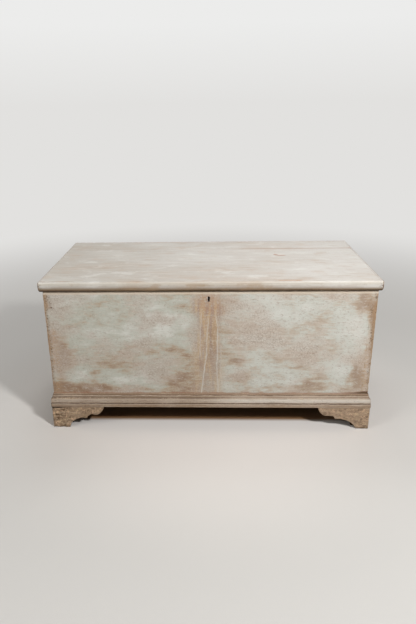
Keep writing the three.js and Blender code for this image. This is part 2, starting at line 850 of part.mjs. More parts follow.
function feet() {
  const inner = halfWidth + footReach - bracketThickness - fitGap;
  const frontY = bracketThickness - footReach + fitGap;
  const rearY = caseDepth - bracketThickness - fitGap - glueBlockSide;
  return [["left", -1, leftScroll], ["right", 1, rightScroll]].map(([name, side, scroll]) => {
    const blockX = side < 0 ? -inner : inner - glueBlockSide;
    return group(
      [0, 0, 0],
      piece(`foot_bracket_front_${name}`, frontBracketGeometry(side, scroll), paintedBase),
      piece(`foot_return_front_${name}`, frontReturnGeometry(side), paintedBase),
      piece(`foot_return_rear_${name}`, rearReturnGeometry(side), paintedBase),
      piece(`foot_bracket_rear_${name}`, rearBracketGeometry(side), paintedBase),
      piece(`glue_block_front_${name}`, glueBlockGeometry(), barePine, [blockX, frontY, 0]),
      piece(`glue_block_rear_${name}`, glueBlockGeometry(), barePine, [blockX, rearY, 0]),
    );
  });
}

function lid() {
  const section = lidMouldingSection();
  const moulding = (name, geometry) => piece(`lid_moulding_${name}`, geometry, paintedLid);
  const sizes = [section, lidReach, -lidSideClearance, -lidMouldingDrop, lidThickness];
  return group(
    [0, 0, lidLevel],
    piece("lid_board_front", frontLidBoardGeometry(), paintedLid),
    piece("lid_board_rear", rearLidBoardGeometry(), paintedLid),
    moulding("front", frontMoulding(...sizes)),
    moulding("left", sideMoulding(-1, ...sizes)),
    moulding("right", sideMoulding(1, ...sizes)),
    piece("lid_strike", strikeGeometry(), darkIron),
    screws("strike_screw", strikeScrewPlaces(), facingDown, darkIron),
    screws("moving_hinge_screw", hingeScrewPlaces(), facingDown, darkIron),
  );
}

// The origin lies under the middle of the whole chest, from the base moulding to the hinges
const origin = [0, (frontReach - backReach) / 2, 0];
const chest = group(origin, walls(), lock(), hinges(), base(), feet(), lid());

export default chest;
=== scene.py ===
import json
import math
from collections import namedtuple

import bmesh
import bpy
from mathutils import Matrix, Vector, kdtree, noise


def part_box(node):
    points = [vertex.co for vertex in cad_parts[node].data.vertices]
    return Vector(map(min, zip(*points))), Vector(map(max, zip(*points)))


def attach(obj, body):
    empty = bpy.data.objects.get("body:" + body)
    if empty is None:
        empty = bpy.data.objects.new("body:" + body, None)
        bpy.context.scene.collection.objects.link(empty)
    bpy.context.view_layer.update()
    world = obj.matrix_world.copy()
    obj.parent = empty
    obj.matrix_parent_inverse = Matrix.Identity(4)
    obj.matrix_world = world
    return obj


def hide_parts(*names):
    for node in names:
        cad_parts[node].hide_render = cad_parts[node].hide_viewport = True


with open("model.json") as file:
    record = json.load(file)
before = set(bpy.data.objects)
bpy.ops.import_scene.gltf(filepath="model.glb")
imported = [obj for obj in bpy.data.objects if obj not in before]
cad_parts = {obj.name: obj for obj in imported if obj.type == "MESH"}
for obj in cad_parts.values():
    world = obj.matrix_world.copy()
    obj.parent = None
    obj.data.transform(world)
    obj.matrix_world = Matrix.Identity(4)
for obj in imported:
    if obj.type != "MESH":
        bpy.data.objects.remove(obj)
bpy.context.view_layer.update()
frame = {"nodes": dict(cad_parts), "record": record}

# Where the frame's pieces belong
record = frame["record"]
BODY_OF = {node: body for body, nodes in record["behaviour"]["bodies"].items() for node in nodes}
SLOT_OF = {row["node"]: row["material_slot"] for row in record["subparts"]}

# Levels and reaches that the finish follows, read from the frame
HALF_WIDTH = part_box("front_board")[1].x
FRONT_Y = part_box("front_board")[0].y
BACK_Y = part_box("back_board")[1].y
WALL_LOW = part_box("front_board")[0].z
WALL_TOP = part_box("front_board")[1].z
BASE_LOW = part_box("base_moulding_front")[0].z
BASE_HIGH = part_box("base_moulding_front")[1].z
LID_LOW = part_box("lid_moulding_front")[0].z
LID_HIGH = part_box("lid_moulding_front")[1].z
LID_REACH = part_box("lid_moulding_front")[1].x
LID_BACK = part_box("lid_board_rear")[1].y
LID_JOINT_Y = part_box("lid_board_front")[0].y
LID_SEAM_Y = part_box("lid_board_front")[1].y
KEYHOLE = sum(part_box("keyhole_escutcheon"), Vector()) / 2

# Lines of the base moulding: how far up from its foot they lie, and half the width that shows
FASCIA_RISE = 0.0134
QUIRK_RISE = 0.0152
CROWN_RISE = 0.0270
COVE_RISE = 0.0365
BEAD_RISE = 0.0425
SEAM_RISE = 0.0450
QUIRK_HALF = 0.0028
CROWN_HALF = 0.0110
COVE_HALF = 0.0050
LINE_HALF = 0.0016

# Where a coat starts and is full, up from the base moulding's foot, among them the painted shade
# on the bare pine near the floor; how much it wavers; and the painted shade at the top of the feet
SEAM_COAT = (SEAM_RISE, SEAM_RISE + 0.002)
FASCIA_COAT = (FASCIA_RISE, FASCIA_RISE - 0.004)
FOOT_COAT = (0.0, -0.004)
BOARD_SHADE = (0.019, 0.001)
BASE_WAVER = 0.003
FOOT_SHADE_RISE = -0.002
FOOT_SHADE_HALF = 0.005

# The same on the lid's nose, for its painted highlight, painted shade, smudges and spots: down
# from its top, up from its foot and in from the case's front
NOSE_HIGHLIGHT_DROP = 0.007
NOSE_PAINTED_SHADE_DROP = (0.014, 0.029)
NOSE_SMUDGE_DROP = (0.003, 0.010)
NOSE_SPOT_DROP = (0.004, 0.012)
NOSE_LIP_PAINTED_SHADE_FALL = (0.010, 0.001)
NOSE_SPOT_DEPTH = 0.05
NOSE_STREAK_WAVER = 0.012
NOSE_SPECK_WAVER = 0.004

# The photograph's frame and the camera that it was taken with
IMAGE_HEIGHT = 624
SENSOR_HEIGHT = 36
FOCAL_PIXELS = 548.3
OPTICAL_AXIS_PIXELS = (-19.5, -5.3)
CAMERA_FROM_FRONT = Vector((0.0075, -1.7324, 1.1107))
CAMERA_PITCH = math.radians(20.35)
CAMERA_YAW = math.radians(-2.49)
CAMERA_ROLL = math.radians(-1.06)

# How far an arris is rounded, how deep its chips and the pits of the face go, the mesh's step and
# how far an outer corner is rounded in plan
Wear = namedtuple("Wear", "arris chip pits step corner")
BOARD_WEAR = Wear(0.0010, 0.0022, 0.0, 0.008, 0.0)
NOSE_WEAR = Wear(0.0010, 0.0020, 0.0, 0.005, 0.004)
BASE_WEAR = Wear(0.0008, 0.0018, 0.0, 0.005, 0.0035)
FOOT_WEAR = Wear(0.0016, 0.0060, 0.0034, 0.004, 0.004)

# Shapes of the wear
ARRIS_SEGMENTS = 3
CORNER_STEPS = 4
SHARP_ANGLE = math.radians(30)
SMOOTH_ANGLE = math.radians(38)
FLAT_ANGLE = math.radians(0.3)
SLIVER_AREA = 5e-7
WELD = 0.00001
WEAR_REACH = 0.012
SAMPLE_STEP = 0.004
CHIP_SIZE = 0.011
PIT_SIZE = 0.007
UNEVEN_SIZE = 0.09
UNEVEN_DEPTH = 0.00035
JOINT_SWELL = 0.00014
SOFT_WOOD = 0.0012
SOFT_METAL = 0.0003

# How near a point lies to the edge, face, front or joint that it counts as part of
ON_EDGE = 0.0001
ON_FACE = 0.0015
ON_FRONT = 0.03
PROUD_BY = 0.001
JOINT_REACH = 0.024

# How squarely a face has to look in a direction
JOINT_FACING = 0.3
MITRE_FACING = 0.6
FACING = 0.7

# How a patch's edge strays: its size, stretch, fractal and share; how far it reaches and fades
PATCH_WANDER = 0.032
PATCH_STRETCH = 1.4
PATCH_FRACTAL = (1.0, 2.0, 4)
PATCH_STRAY = 0.55
PATCH_REACH = 1.55
PATCH_FADE = 1.3

# Where the front kept its pale paint, above zero, or lost it, below: middle x and z, half width,
# half height and strength
FRONT_PATCHES = (
    (-0.334, 0.452, 0.034, 0.016, 0.09),
    (-0.364, 0.367, 0.060, 0.045, 0.10),
    (-0.220, 0.430, 0.120, 0.060, 0.07),
    (-0.110, 0.420, 0.055, 0.060, 0.08),
    (-0.300, 0.205, 0.130, 0.034, 0.16),
    (-0.452, 0.205, 0.050, 0.034, 0.10),
    (-0.500, 0.470, 0.050, 0.030, 0.08),
    (0.129, 0.348, 0.050, 0.022, 0.12),
    (0.268, 0.436, 0.055, 0.040, 0.10),
    (0.386, 0.468, 0.065, 0.030, 0.16),
    (0.484, 0.399, 0.055, 0.045, 0.14),
    (0.270, 0.310, 0.080, 0.030, 0.06),
    (0.400, 0.330, 0.080, 0.030, 0.05),
    (0.440, 0.215, 0.045, 0.034, 0.22),
    (-0.520, 0.279, 0.048, 0.095, -0.20),
    (-0.539, 0.364, 0.016, 0.026, -0.24),
    (-0.481, 0.156, 0.110, 0.026, -0.22),
    (-0.304, 0.158, 0.080, 0.016, -0.22),
    (-0.410, 0.403, 0.080, 0.014, -0.09),
    (-0.480, 0.434, 0.040, 0.035, -0.09),
    (-0.231, 0.315, 0.070, 0.030, -0.14),
    (-0.120, 0.300, 0.060, 0.030, -0.08),
    (-0.405, 0.219, 0.022, 0.011, -0.24),
    (-0.293, 0.216, 0.026, 0.010, -0.22),
    (-0.110, 0.178, 0.090, 0.034, -0.10),
    (0.103, 0.264, 0.034, 0.018, -0.22),
    (0.100, 0.189, 0.045, 0.022, -0.16),
    (0.404, 0.202, 0.055, 0.028, -0.26),
    (0.240, 0.202, 0.045, 0.018, -0.16),
    (0.330, 0.158, 0.110, 0.020, -0.20),
    (0.528, 0.260, 0.034, 0.050, -0.30),
    (0.530, 0.190, 0.050, 0.050, -0.34),
    (0.530, 0.475, 0.040, 0.048, -0.22),
    (0.550, 0.370, 0.018, 0.090, -0.30),
    (0.180, 0.400, 0.060, 0.030, -0.06),
    (0.240, 0.514, 0.060, 0.010, -0.16),
)

# Where the front's outer edges are rubbed down to the wood, given the same way
FRONT_RUBS = (
    (-0.550, 0.488, 0.018, 0.045, 0.60),
    (-0.554, 0.330, 0.010, 0.200, 0.35),
    (-0.552, 0.345, 0.012, 0.035, 0.25),
    (0.556, 0.395, 0.012, 0.065, 0.60),
    (0.545, 0.480, 0.024, 0.045, 0.45),
    (0.555, 0.330, 0.009, 0.200, 0.30),
)

# The same as the front's patches on the lid's top and nose, with the middle's x and y
LID_PATCHES = (
    (0.098, -0.124, 0.035, 0.016, 0.14),
    (0.195, -0.114, 0.050, 0.014, 0.10),
    (-0.380, 0.080, 0.110, 0.045, 0.10),
    (0.350, 0.020, 0.100, 0.055, 0.10),
    (-0.300, -0.180, 0.160, 0.050, 0.06),
    (-0.450, 0.205, 0.180, 0.035, -0.10),
    (0.350, 0.145, 0.260, 0.016, -0.14),
    (0.450, 0.060, 0.110, 0.030, -0.08),
    (0.265, -0.050, 0.055, 0.012, -0.10),
    (-0.420, -0.100, 0.060, 0.012, -0.08),
    (-0.255, -0.276, 0.045, 0.020, -0.15),
    (-0.500, -0.278, 0.040, 0.020, -0.06),
    (-0.060, -0.278, 0.060, 0.020, -0.05),
    (0.275, -0.264, 0.050, 0.003, -0.28),
    (0.520, -0.278, 0.015, 0.020, -0.10),
)

# Where the feet are gnarled: middle x and z, half width, half height and strength
FOOT_PATCHES = (
    (-0.545, 0.045, 0.050, 0.050, 1.0),
    (-0.500, 0.025, 0.040, 0.030, 0.7),
    (-0.440, 0.070, 0.050, 0.015, 0.4),
    (0.555, 0.045, 0.024, 0.050, 0.6),
)

# The brown stain below the keyhole: its levels, its middle, half its width, how that grows at the
# top and the foot, how far back from the front it goes, and the red in it
STAIN_START = KEYHOLE.z + 0.03
STAIN_FULL = KEYHOLE.z - 0.04
STAIN_FLARE_TOP = KEYHOLE.z - 0.02
STAIN_FLARE_END = KEYHOLE.z - 0.10
STAIN_FALL = KEYHOLE.z - 0.06
STAIN_X = -0.002
STAIN_HALF = 0.036
STAIN_FLARE = 0.018
STAIN_SPREAD = 0.016
STAIN_WANDER = 0.05
STAIN_DEPTH = (0.010, 0.002)
RED_REACH = 0.065
RED_CORE = 0.010

# The darkest run in the stain: its middle, and half its width and height
RUN_X = 0.013
RUN_Z = 0.335
RUN_HALF_X = 0.022
RUN_HALF_Z = 0.090

# Pale trickles below the keyhole: x and z at the top, x and z at the foot, and strength
TRICKLES = (
    (-0.026, 0.451, -0.032, 0.275, 0.55),
    (-0.001, 0.430, -0.009, 0.275, 0.65),
    (-0.009, 0.300, -0.028, 0.130, 0.95),
    (0.024, 0.446, 0.031, 0.385, 0.70),
    (0.031, 0.400, 0.028, 0.240, 0.90),
    (0.028, 0.256, 0.033, 0.130, 0.85),
    (0.041, 0.330, 0.043, 0.160, 0.50),
)
TRICKLE_HALF = 0.0036
TRICKLE_CORE = 0.0003
TRICKLE_WAVER = 0.011
TRICKLE_HEAD = (0.010, -0.020)
TRICKLE_TAIL = (0.0, 0.015)

# How far in from an edge the wear and dirt start, and where they are full; below zero, beyond it.
# The pale line under the lid is rubbed paint and painted light
CASE_SIDE = (0.09, 0.0)
CASE_YELLOW = (0.05, 0.01)
CASE_WEDGE = (0.10, 0.01)
CASE_FOOT = (-0.05, 0.0)
CASE_UNDER_LID = (0.014, 0.008)
LID_RIM = (0.009, 0.003)
LID_BACK_RIM = (0.012, 0.003)
LID_ENDS = (0.020, 0.0)

# Lines that run along a joint: how far from it they start, and where they are full
LID_SEAM_LINE = (0.006, 0.001)
LID_JOINT_LINE = (0.0035, 0.0008)
BASE_RUST_LINE = (0.005, 0.001)
BASE_GRIME_LINE = (0.003, 0.0)
LINE_WANDER = 0.006

# Up from the floor: where the dirt on the feet starts and is full
FLOOR_DIRT = (0.010, 0.0)

# Where along X a tone starts, and where it is full. All but the seam's red are painted light and
# shade: the paint turns paler toward the right, where the light falls, and darker to the left
CASE_TURNS_PAINTED_LIT = (-0.05, 0.20)
LID_TURNS_PAINTED_SHADE = (0.10, -0.55)
LID_TURNS_PAINTED_LIT = (0.00, 0.50)
SEAM_TURNS_RED = (0.00, 0.20)
BASE_TURNS_PAINTED_LIT = (-0.05, 0.15)
BASE_TURNS_PAINTED_SHADE = (0.05, -0.15)
FOOT_TURNS_PAINTED_LIT = (0.20, 0.40)
FOOT_SHADE_TURNS = (-0.500, -0.545)

# The knot in the lid's front board, and the stretch of the joint before it that is rubbed bare
KNOT = Vector((0.276, 0.060))
KNOT_SIZE = 0.013
KNOT_STRETCH = 1.5
KNOT_SLOPE = 0.45
KNOT_CRESCENT = (0.002, -0.010)
BARE_JOINT_X = 0.269
BARE_JOINT_HALF = (0.045, 0.032)

# Where a painted glint lies on the keyhole's lining, left of its middle
LINING_GLINT_REACH = (0.0025, 0.0040)
LINING_WAVER = 0.001

# Sizes of the marks in the paint and wood
CLOUD = 0.20
DRIFT = 0.11
MOTTLE = 0.05
STROKE = 0.013
STREAK = 0.022
DAB = 0.012
BRISTLE = 0.0055
SPECK = 0.0050
CRACKLE = 0.006
CRUST = 0.010
RINGS = 0.020
GRAIN = 0.009
PORE = 0.002
METAL_PIT = 0.0016

# How deep the marks are, and how glossy the paint and the wood are
CASE_RELIEF = 0.0011
LID_RELIEF = 0.0008
BASE_RELIEF = 0.0016
PINE_RELIEF = 0.0008
METAL_RELIEF = 0.0003
LINING_RELIEF = 0.0002
CLOTH_RELIEF = 0.0004
PAINT_GLOSS = 0.35
PINE_GLOSS = 0.30

# Colours of the case's paint, its undercoats and its dirt; the paler copies for the right side
# are painted light, and the pale line under the lid is rubbed paint and painted light
SAGE = "bbbdb2"
SAGE_PAINTED_LIT = "cbcdc5"
SAGE_BRIGHT = "d9dad4"
PALE = "d0cdc5"
CREAM = "dad6cd"
PINKISH = "c4b9af"
PINKISH_PAINTED_LIT = "cfc5bb"
TAN = "b2a08b"
TAN_PAINTED_LIT = "d2c8bb"
WORN_BROWN = "947b65"
OCHRE = "c4a684"
STAIN_DARK = "a68f80"
STAIN_LIGHT = "bda385"
STAIN_FLECK = "d9c9b2"
RED_STAIN = "b08a6e"
UNDER_LID_RUB_AND_LIGHT = "ded0bd"
GRIME = "4a3722"
RUST_LINE = "9a6d53"

# Colours of the lid's paint and of what shows through it; the paler and duller copies for the
# right and left, and the nose's highlight and shade, are painted light and shade
LID_GREY = "c0bab2"
LID_CREAM = "c9c5bf"
LID_KEPT = "d3d1ca"
LID_THIN = "b8a898"
LID_WORN = "a5805f"
LID_PAINTED_SHADE = "b1aca2"
LID_PAINTED_LIGHT = "dfdcd7"
LID_MOTTLE_DARK = "b9a592"
LID_MOTTLE_PALE = "dcdbd6"
LID_BRISTLE_DARK = "a8957f"
LID_BRISTLE_PALE = "dfdcd6"
LID_SPECK = "9d8a74"
LID_JOINT_BROWN = "b27c52"
LID_RIM_BROWN = "7c5a42"
LID_BARE = "b28a68"
NOSE_PAINTED_HIGHLIGHT = "e2dccd"
NOSE_PAINTED_SHADE = "7c6549"
NOSE_LIP_PAINTED_SHADE = "33210f"
NOSE_SMUDGE = "a2886a"
KNOT_EYE = "e3ded6"
KNOT_RED = "a1694b"

# Colours of the base moulding and the feet, with painted highlights, painted shade in the hollows
# and at the left foot's top, and paler and darker copies for the right and left as painted light
BASE_DARK = "a48e7a"
BASE_LIGHT = "b9a898"
BASE_SHADED = "7d6650"
BASE_BRISTLE_PALE = "c9bbab"
BASE_BRISTLE_DARK = "84705c"
BASE_SPECK_DARK = "553f2a"
BASE_SPECK_PALE = "d6c2a2"
BASE_BARE = "d2c0a8"
CROWN_PAINTED_HIGHLIGHT = "d2cbc1"
FASCIA_DARK = "957f69"
FASCIA_PAINTED_HIGHLIGHT = "cbbcac"
QUIRK_DIRT_AND_SHADE = "4d3b2b"
COVE_PAINTED_SHADE = "62503f"
BEAD_PAINTED_HIGHLIGHT = "cdbfb0"
SEAM_DIRT_AND_SHADE = "5b4735"
FOOT_DARK = "8f775d"
FOOT_LIGHT = "a78f76"
FOOT_PAINTED_LIT = "b39b84"
FOOT_PAINTED_SHADE = "2e2014"
DAB_PALE = "cdb796"
CRUST_DARK = "4d3723"
CRUST_PALE = "dbb999"

# Colours of the wood and the metal, with the painted shade on the pine near the floor and the
# painted glint on the keyhole's lining
WOOD_LIGHT = "b08a5e"
WOOD_DARK = "6f5233"
PINE_LIGHT = "a8845a"
PINE_DARK = "7c5a38"
PINE_DUST = "8f7a62"
PINE_PAINTED_SHADE = "2a1d11"
RUST = "5b3a24"
IRON_DARK = "1f1b18"
IRON_LIGHT = "3a342e"
STEEL_DARK = "6d6a66"
STEEL_LIGHT = "a3a09b"
LINING_DARK = "15110e"
LINING_LIGHT = "2b241e"
LINING_PAINTED_GLINT = "e6ded6"

# The stage: a pale floor that fades into a plain backdrop, painted lighter near the chest, with a
# glow from half a metre out that lifts its shadows, and painted brown shade beneath the chest
FLOOR_REACH = 30
FLOOR_TURNS_FAR = (0.35, 1.0)
FLOOR_SHADOW_GLOW = (0.5, 1.1)
FLOOR_FADE = (1.0, 3.4)
FLOOR_PAINTED_LIGHT_NEAR = "e4dfdb"
FLOOR_FAR = "c9c7c3"
FLOOR_WEAVE = "b8b2aa"
FLOOR_PAINTED_SHADE = "85613f"
FLOOR_BOUNCE = "796d60"
UNDER_FRONT = (0.034, 0.058)
UNDER_EDGE = 0.03
BACKDROP_LOW = "e2e1df"
BACKDROP_HIGH = "ececeb"
BACKDROP_TOP = 0.12

# The lights
AMBIENT = 0.11
AMBIENT_COLOUR = "fff0e0"
WHITE = (1.0, 1.0, 1.0)
WARM_WHITE = (1.0, 0.99, 0.97)
Lamp = namedtuple("Lamp", "name place target size watts colour")
LAMPS = (
    Lamp("key", (1.52, -2.20, 2.28), (0, 0, 0.4), 0.35, 88, WHITE),
    Lamp("fill", (-2.25, -1.90, 2.10), (0, 0, 0.4), 1.60, 31, WARM_WHITE),
    Lamp("top", (-0.30, 1.10, 3.10), (0, 0, 0.5), 1.20, 20, WHITE),
    Lamp("rear", (0.60, 3.20, 2.70), (0, 0, 0.3), 1.60, 16, WHITE),
)


# Worn wood: fine copies of the frame's pieces with rubbed arrises and uneven faces

def smooth_step(value):
    value = min(1.0, max(0.0, value))
    return value * value * (3 - 2 * value)


def is_mitre(face):
    return abs(face.normal.x) > MITRE_FACING and abs(face.normal.y) > MITRE_FACING


def is_sharp(edge):
    return (
        len(edge.link_faces) == 2
        and edge.is_convex
        and edge.calc_face_angle() > SHARP_ANGLE
        and not any(is_mitre(face) for face in edge.link_faces)
    )


def on_outer_corner(node):
    """A test for the edges that lie along the edges of the node's box."""
    walls = [(axis, corner[axis]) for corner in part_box(node) for axis in range(3)]

    def meets(edge, axis, wall):
        return all(abs(vert.co[axis] - wall) < ON_EDGE for vert in edge.verts)

    return lambda edge: sum(meets(edge, *wall) for wall in walls) >= 2


def on_proud_side(edge):
    """Whether an edge stands out from the planes of the case's front and sides."""
    middle = (edge.verts[0].co + edge.verts[1].co) / 2
    return max(abs(middle.x) - HALF_WIDTH, FRONT_Y - middle.y) > PROUD_BY


def on_back_of_lid(edge):
    return all(vert.co.y > BACK_Y - ON_EDGE for vert in edge.verts)


def anywhere(edge):
    return True


def cut_across(mesh, axis, at):
    everything = mesh.verts[:] + mesh.edges[:] + mesh.faces[:]
    normal = Vector(tuple(float(axis == other) for other in range(3)))
    bmesh.ops.bisect_plane(mesh, geom=everything, plane_co=normal * at, plane_no=normal)


def slice_evenly(mesh, step):
    """Cuts the mesh across at even steps along each axis, so that its faces can be shaped."""
    corners = [vert.co.copy() for vert in mesh.verts]
    for axis in range(3):
        low = min(co[axis] for co in corners)
        high = max(co[axis] for co in corners)
        count = int((high - low) / step)
        for i in range(1, count):
            cut_across(mesh, axis, low + (high - low) * i / count)


def slice_corner(mesh, outline, radius):
    """Cuts the mesh finely where its outer front corners will be rounded."""
    reach, front = outline
    for i in range(1, CORNER_STEPS + 1):
        inset = radius * i / CORNER_STEPS
        cut_across(mesh, 0, reach - inset)
        cut_across(mesh, 0, inset - reach)
        cut_across(mesh, 1, front + inset)


def round_in_plan(co, outline, radius):
    """Where a point goes when the square front corner of an outline is turned on a radius."""
    reach, front = outline
    along = abs(co.x) - reach + radius
    out = front + radius - co.y
    if along <= 0 or out <= 0:
        return co.copy()
    share = max(along, out) / math.hypot(along, out)
    x = reach - radius + along * share
    return Vector((math.copysign(x, co.x), front + radius - out * share, co.z))


def mark_sharp(mesh):
    """Marks the edges where two faces, neither a sliver, meet at a sharp angle, beside those marked
    before.
    """
    for edge in mesh.edges:
        faces = edge.link_faces
        if len(faces) != 2 or min(face.calc_area() for face in faces) < SLIVER_AREA:
            continue
        if edge.calc_face_angle() > SMOOTH_ANGLE:
            edge.smooth = False


def nearness(lines, reach):
    """A function that is 1 on the lines and falls to 0 at the reach from them."""
    points = []
    for start, end in lines:
        count = max(1, int((end - start).length / SAMPLE_STEP))
        points += [start.lerp(end, i / count) for i in range(count + 1)]
    if not points:
        return lambda co: 0.0
    tree = kdtree.KDTree(len(points))
    for i, point in enumerate(points):
        tree.insert(point, i)
    tree.balance()
    return lambda co: max(0.0, 1 - tree.find(co)[2] / reach)


def case_corners():
    """The four upright edges of the case, as pairs of ends."""
    corners = [(x, y) for x in (-HALF_WIDTH, HALF_WIDTH) for y in (FRONT_Y, BACK_Y)]
    return [(Vector((x, y, WALL_LOW)), Vector((x, y, WALL_TOP))) for x, y in corners]


def wear_case(vert, depth):
    """How a point of the case moves: in from its outer faces, and within a joint, out to close it."""
    co = vert.co
    on_side = abs(co.x) > HALF_WIDTH - ON_FACE
    on_end = co.y < FRONT_Y + ON_FACE or co.y > BACK_Y - ON_FACE
    inward = Vector((-math.copysign(on_side, co.x), -math.copysign(on_end, co.y), 0))
    swollen = Vector((0 if on_side else vert.normal.x, 0 if on_end else vert.normal.y, vert.normal.z))
    at_corner = (
        abs(co.x) > HALF_WIDTH - JOINT_REACH
        and (co.y < FRONT_Y + JOINT_REACH or co.y > BACK_Y - JOINT_REACH)
        and WALL_LOW + ON_FACE < co.z < WALL_TOP - ON_FACE
    )
    if at_corner and swollen.length > JOINT_FACING:
        return inward * depth + swollen.normalized() * JOINT_SWELL
    return inward * depth


def wear_evenly(vert, depth):
    return -vert.normal * depth


def patchwork(patches, across):
    """A function that adds up the patches that hold a point, seen along Y or Z."""
    def value(co):
        place = Vector((co.x / PATCH_STRETCH, co.y / PATCH_STRETCH, co.z)) / PATCH_WANDER
        stray = PATCH_STRAY * noise.fractal(place, *PATCH_FRACTAL)
        total = 0.0
        for x, other, half_x, half_other, strength in patches:
            away = Vector(((co.x - x) / half_x, (co[across] - other) / half_other)).length
            total += strength * smooth_step((PATCH_REACH - away - stray) / PATCH_FADE)
        return total

    return value


def on_front(value):
    """The value on the case's front face, and zero behind it."""
    return lambda co: value(co) if co.y < FRONT_Y + ON_FRONT else 0.0


def nowhere(co):
    return 0.0


FRONT_COVER = on_front(patchwork(FRONT_PATCHES, 2))
FRONT_RUB = on_front(patchwork(FRONT_RUBS, 2))
FOOT_GNARL = on_front(patchwork(FOOT_PATCHES, 2))
LID_COVER = patchwork(LID_PATCHES, 1)


def outline_of(node):
    """How far out a row of moulding or feet reaches sideways, and its front."""
    low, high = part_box(node)
    return max(abs(low.x), abs(high.x)), low.y


def with_rounded_arrises(node, style, is_worn):
    """A copy of a node's mesh with its worn arrises rounded, and the ends of each of these."""
    mesh = bmesh.new()
    mesh.from_mesh(frame["nodes"][node].data)
    bmesh.ops.remove_doubles(mesh, verts=mesh.verts, dist=WELD)
    bmesh.ops.dissolve_limit(mesh, angle_limit=FLAT_ANGLE, verts=mesh.verts, edges=mesh.edges)
    arrises = [edge for edge in mesh.edges if is_sharp(edge) and is_worn(edge)]
    ends = [tuple(vert.co.copy() for vert in edge.verts) for edge in arrises]
    bmesh.ops.bevel(
        mesh, geom=arrises, offset=style.arris, segments=ARRIS_SEGMENTS, profile=0.5,
        affect="EDGES", clamp_overlap=False,
    )
    mesh.normal_update()
    mark_sharp(mesh)
    return mesh, ends


def add_piece(node, mesh):
    """Puts a finished mesh in the node's place."""
    data = bpy.data.meshes.new(node + "_worn")
    mesh.to_mesh(data)
    mesh.free()
    data.shade_smooth()
    piece = bpy.data.objects.new(node + "_worn", data)
    piece.modifiers.new("even_shading", "WEIGHTED_NORMAL").keep_sharp = True
    bpy.context.scene.collection.objects.link(piece)
    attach(piece, BODY_OF[node])
    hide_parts(node)
    return piece


def worn_copy(node, style, is_worn, moved=wear_evenly, cover=nowhere, rub=nowhere, lines=None,
              outline=None):
    """A fine copy of a node with its worn arrises rounded and chipped.

    Its points carry how much they are worn, from their nearness to the lines or else to the worn
    arrises, and what the cover says of them.
    """
    mesh, arrises = with_rounded_arrises(node, style, is_worn)
    near = nearness(lines or arrises, WEAR_REACH)
    bmesh.ops.triangulate(mesh, faces=mesh.faces)
    slice_evenly(mesh, style.step)
    if outline:
        slice_corner(mesh, outline, style.corner)
    mesh.normal_update()
    wear_layer = mesh.verts.layers.float.new("wear")
    cover_layer = mesh.verts.layers.float.new("cover")
    places = []
    for vert in mesh.verts:
        co = vert.co
        wear = near(co)
        covered = cover(co)
        vert[wear_layer] = wear + rub(co)
        vert[cover_layer] = covered
        swell = 0.5 + 0.5 * noise.noise(co / UNEVEN_SIZE)
        nick = max(0.0, noise.noise(co / CHIP_SIZE)) * wear ** 2
        pit = max(0.0, noise.noise(co / PIT_SIZE)) * max(0.0, covered)
        depth = UNEVEN_DEPTH * swell + style.chip * nick + style.pits * pit
        at = round_in_plan(co, outline, style.corner) if outline else co.copy()
        places.append(at + moved(vert, depth))
    for vert, place in zip(mesh.verts, places):
        vert.co = place
    mesh.normal_update()
    mark_sharp(mesh)
    return add_piece(node, mesh)


# Materials

def linear(hex_colour):
    """An sRGB colour, as six hex digits, in linear light with full alpha."""
    values = [int(hex_colour[i:i + 2], 16) / 255 for i in (0, 2, 4)]
    return [v / 12.92 if v <= 0.04045 else ((v + 0.055) / 1.055) ** 2.4 for v in values] + [1.0]


class Nodes:
    """A node tree being built. A value is a number, a colour as hex digits or another node's socket."""

    def __init__(self, tree):
        self.tree = tree

    def node(self, kind, inputs=None, **settings):
        node = self.tree.nodes.new(kind)
        for key, value in settings.items():
            setattr(node, key, value)
        for key, value in (inputs or {}).items():
            self.feed(node.inputs[key], value)
        return node

    def feed(self, socket, value):
        if isinstance(value, bpy.types.NodeSocket):
            self.tree.links.new(value, socket)
        elif isinstance(value, str):
            socket.default_value = linear(value)
        else:
            socket.default_value = value

    def math(self, operation, first, second=0.0):
        return self.node("ShaderNodeMath", {0: first, 1: second}, operation=operation).outputs[0]

    def mix(self, factor, first, second):
        blend = self.node("ShaderNodeMix", data_type="RGBA")
        self.feed(blend.inputs["Factor"], factor)
        self.feed(blend.inputs["A"], first)
        self.feed(blend.inputs["B"], second)
        return blend.outputs["Result"]

    def seen_directly(self):
        """1 for rays from the camera, and for those it sends by way of gloss or glass."""
        rays = self.node("ShaderNodeLightPath").outputs
        either = self.math("MAXIMUM", rays["Is Camera Ray"], rays["Is Glossy Ray"])
        return self.math("MAXIMUM", either, rays["Is Transmission Ray"])


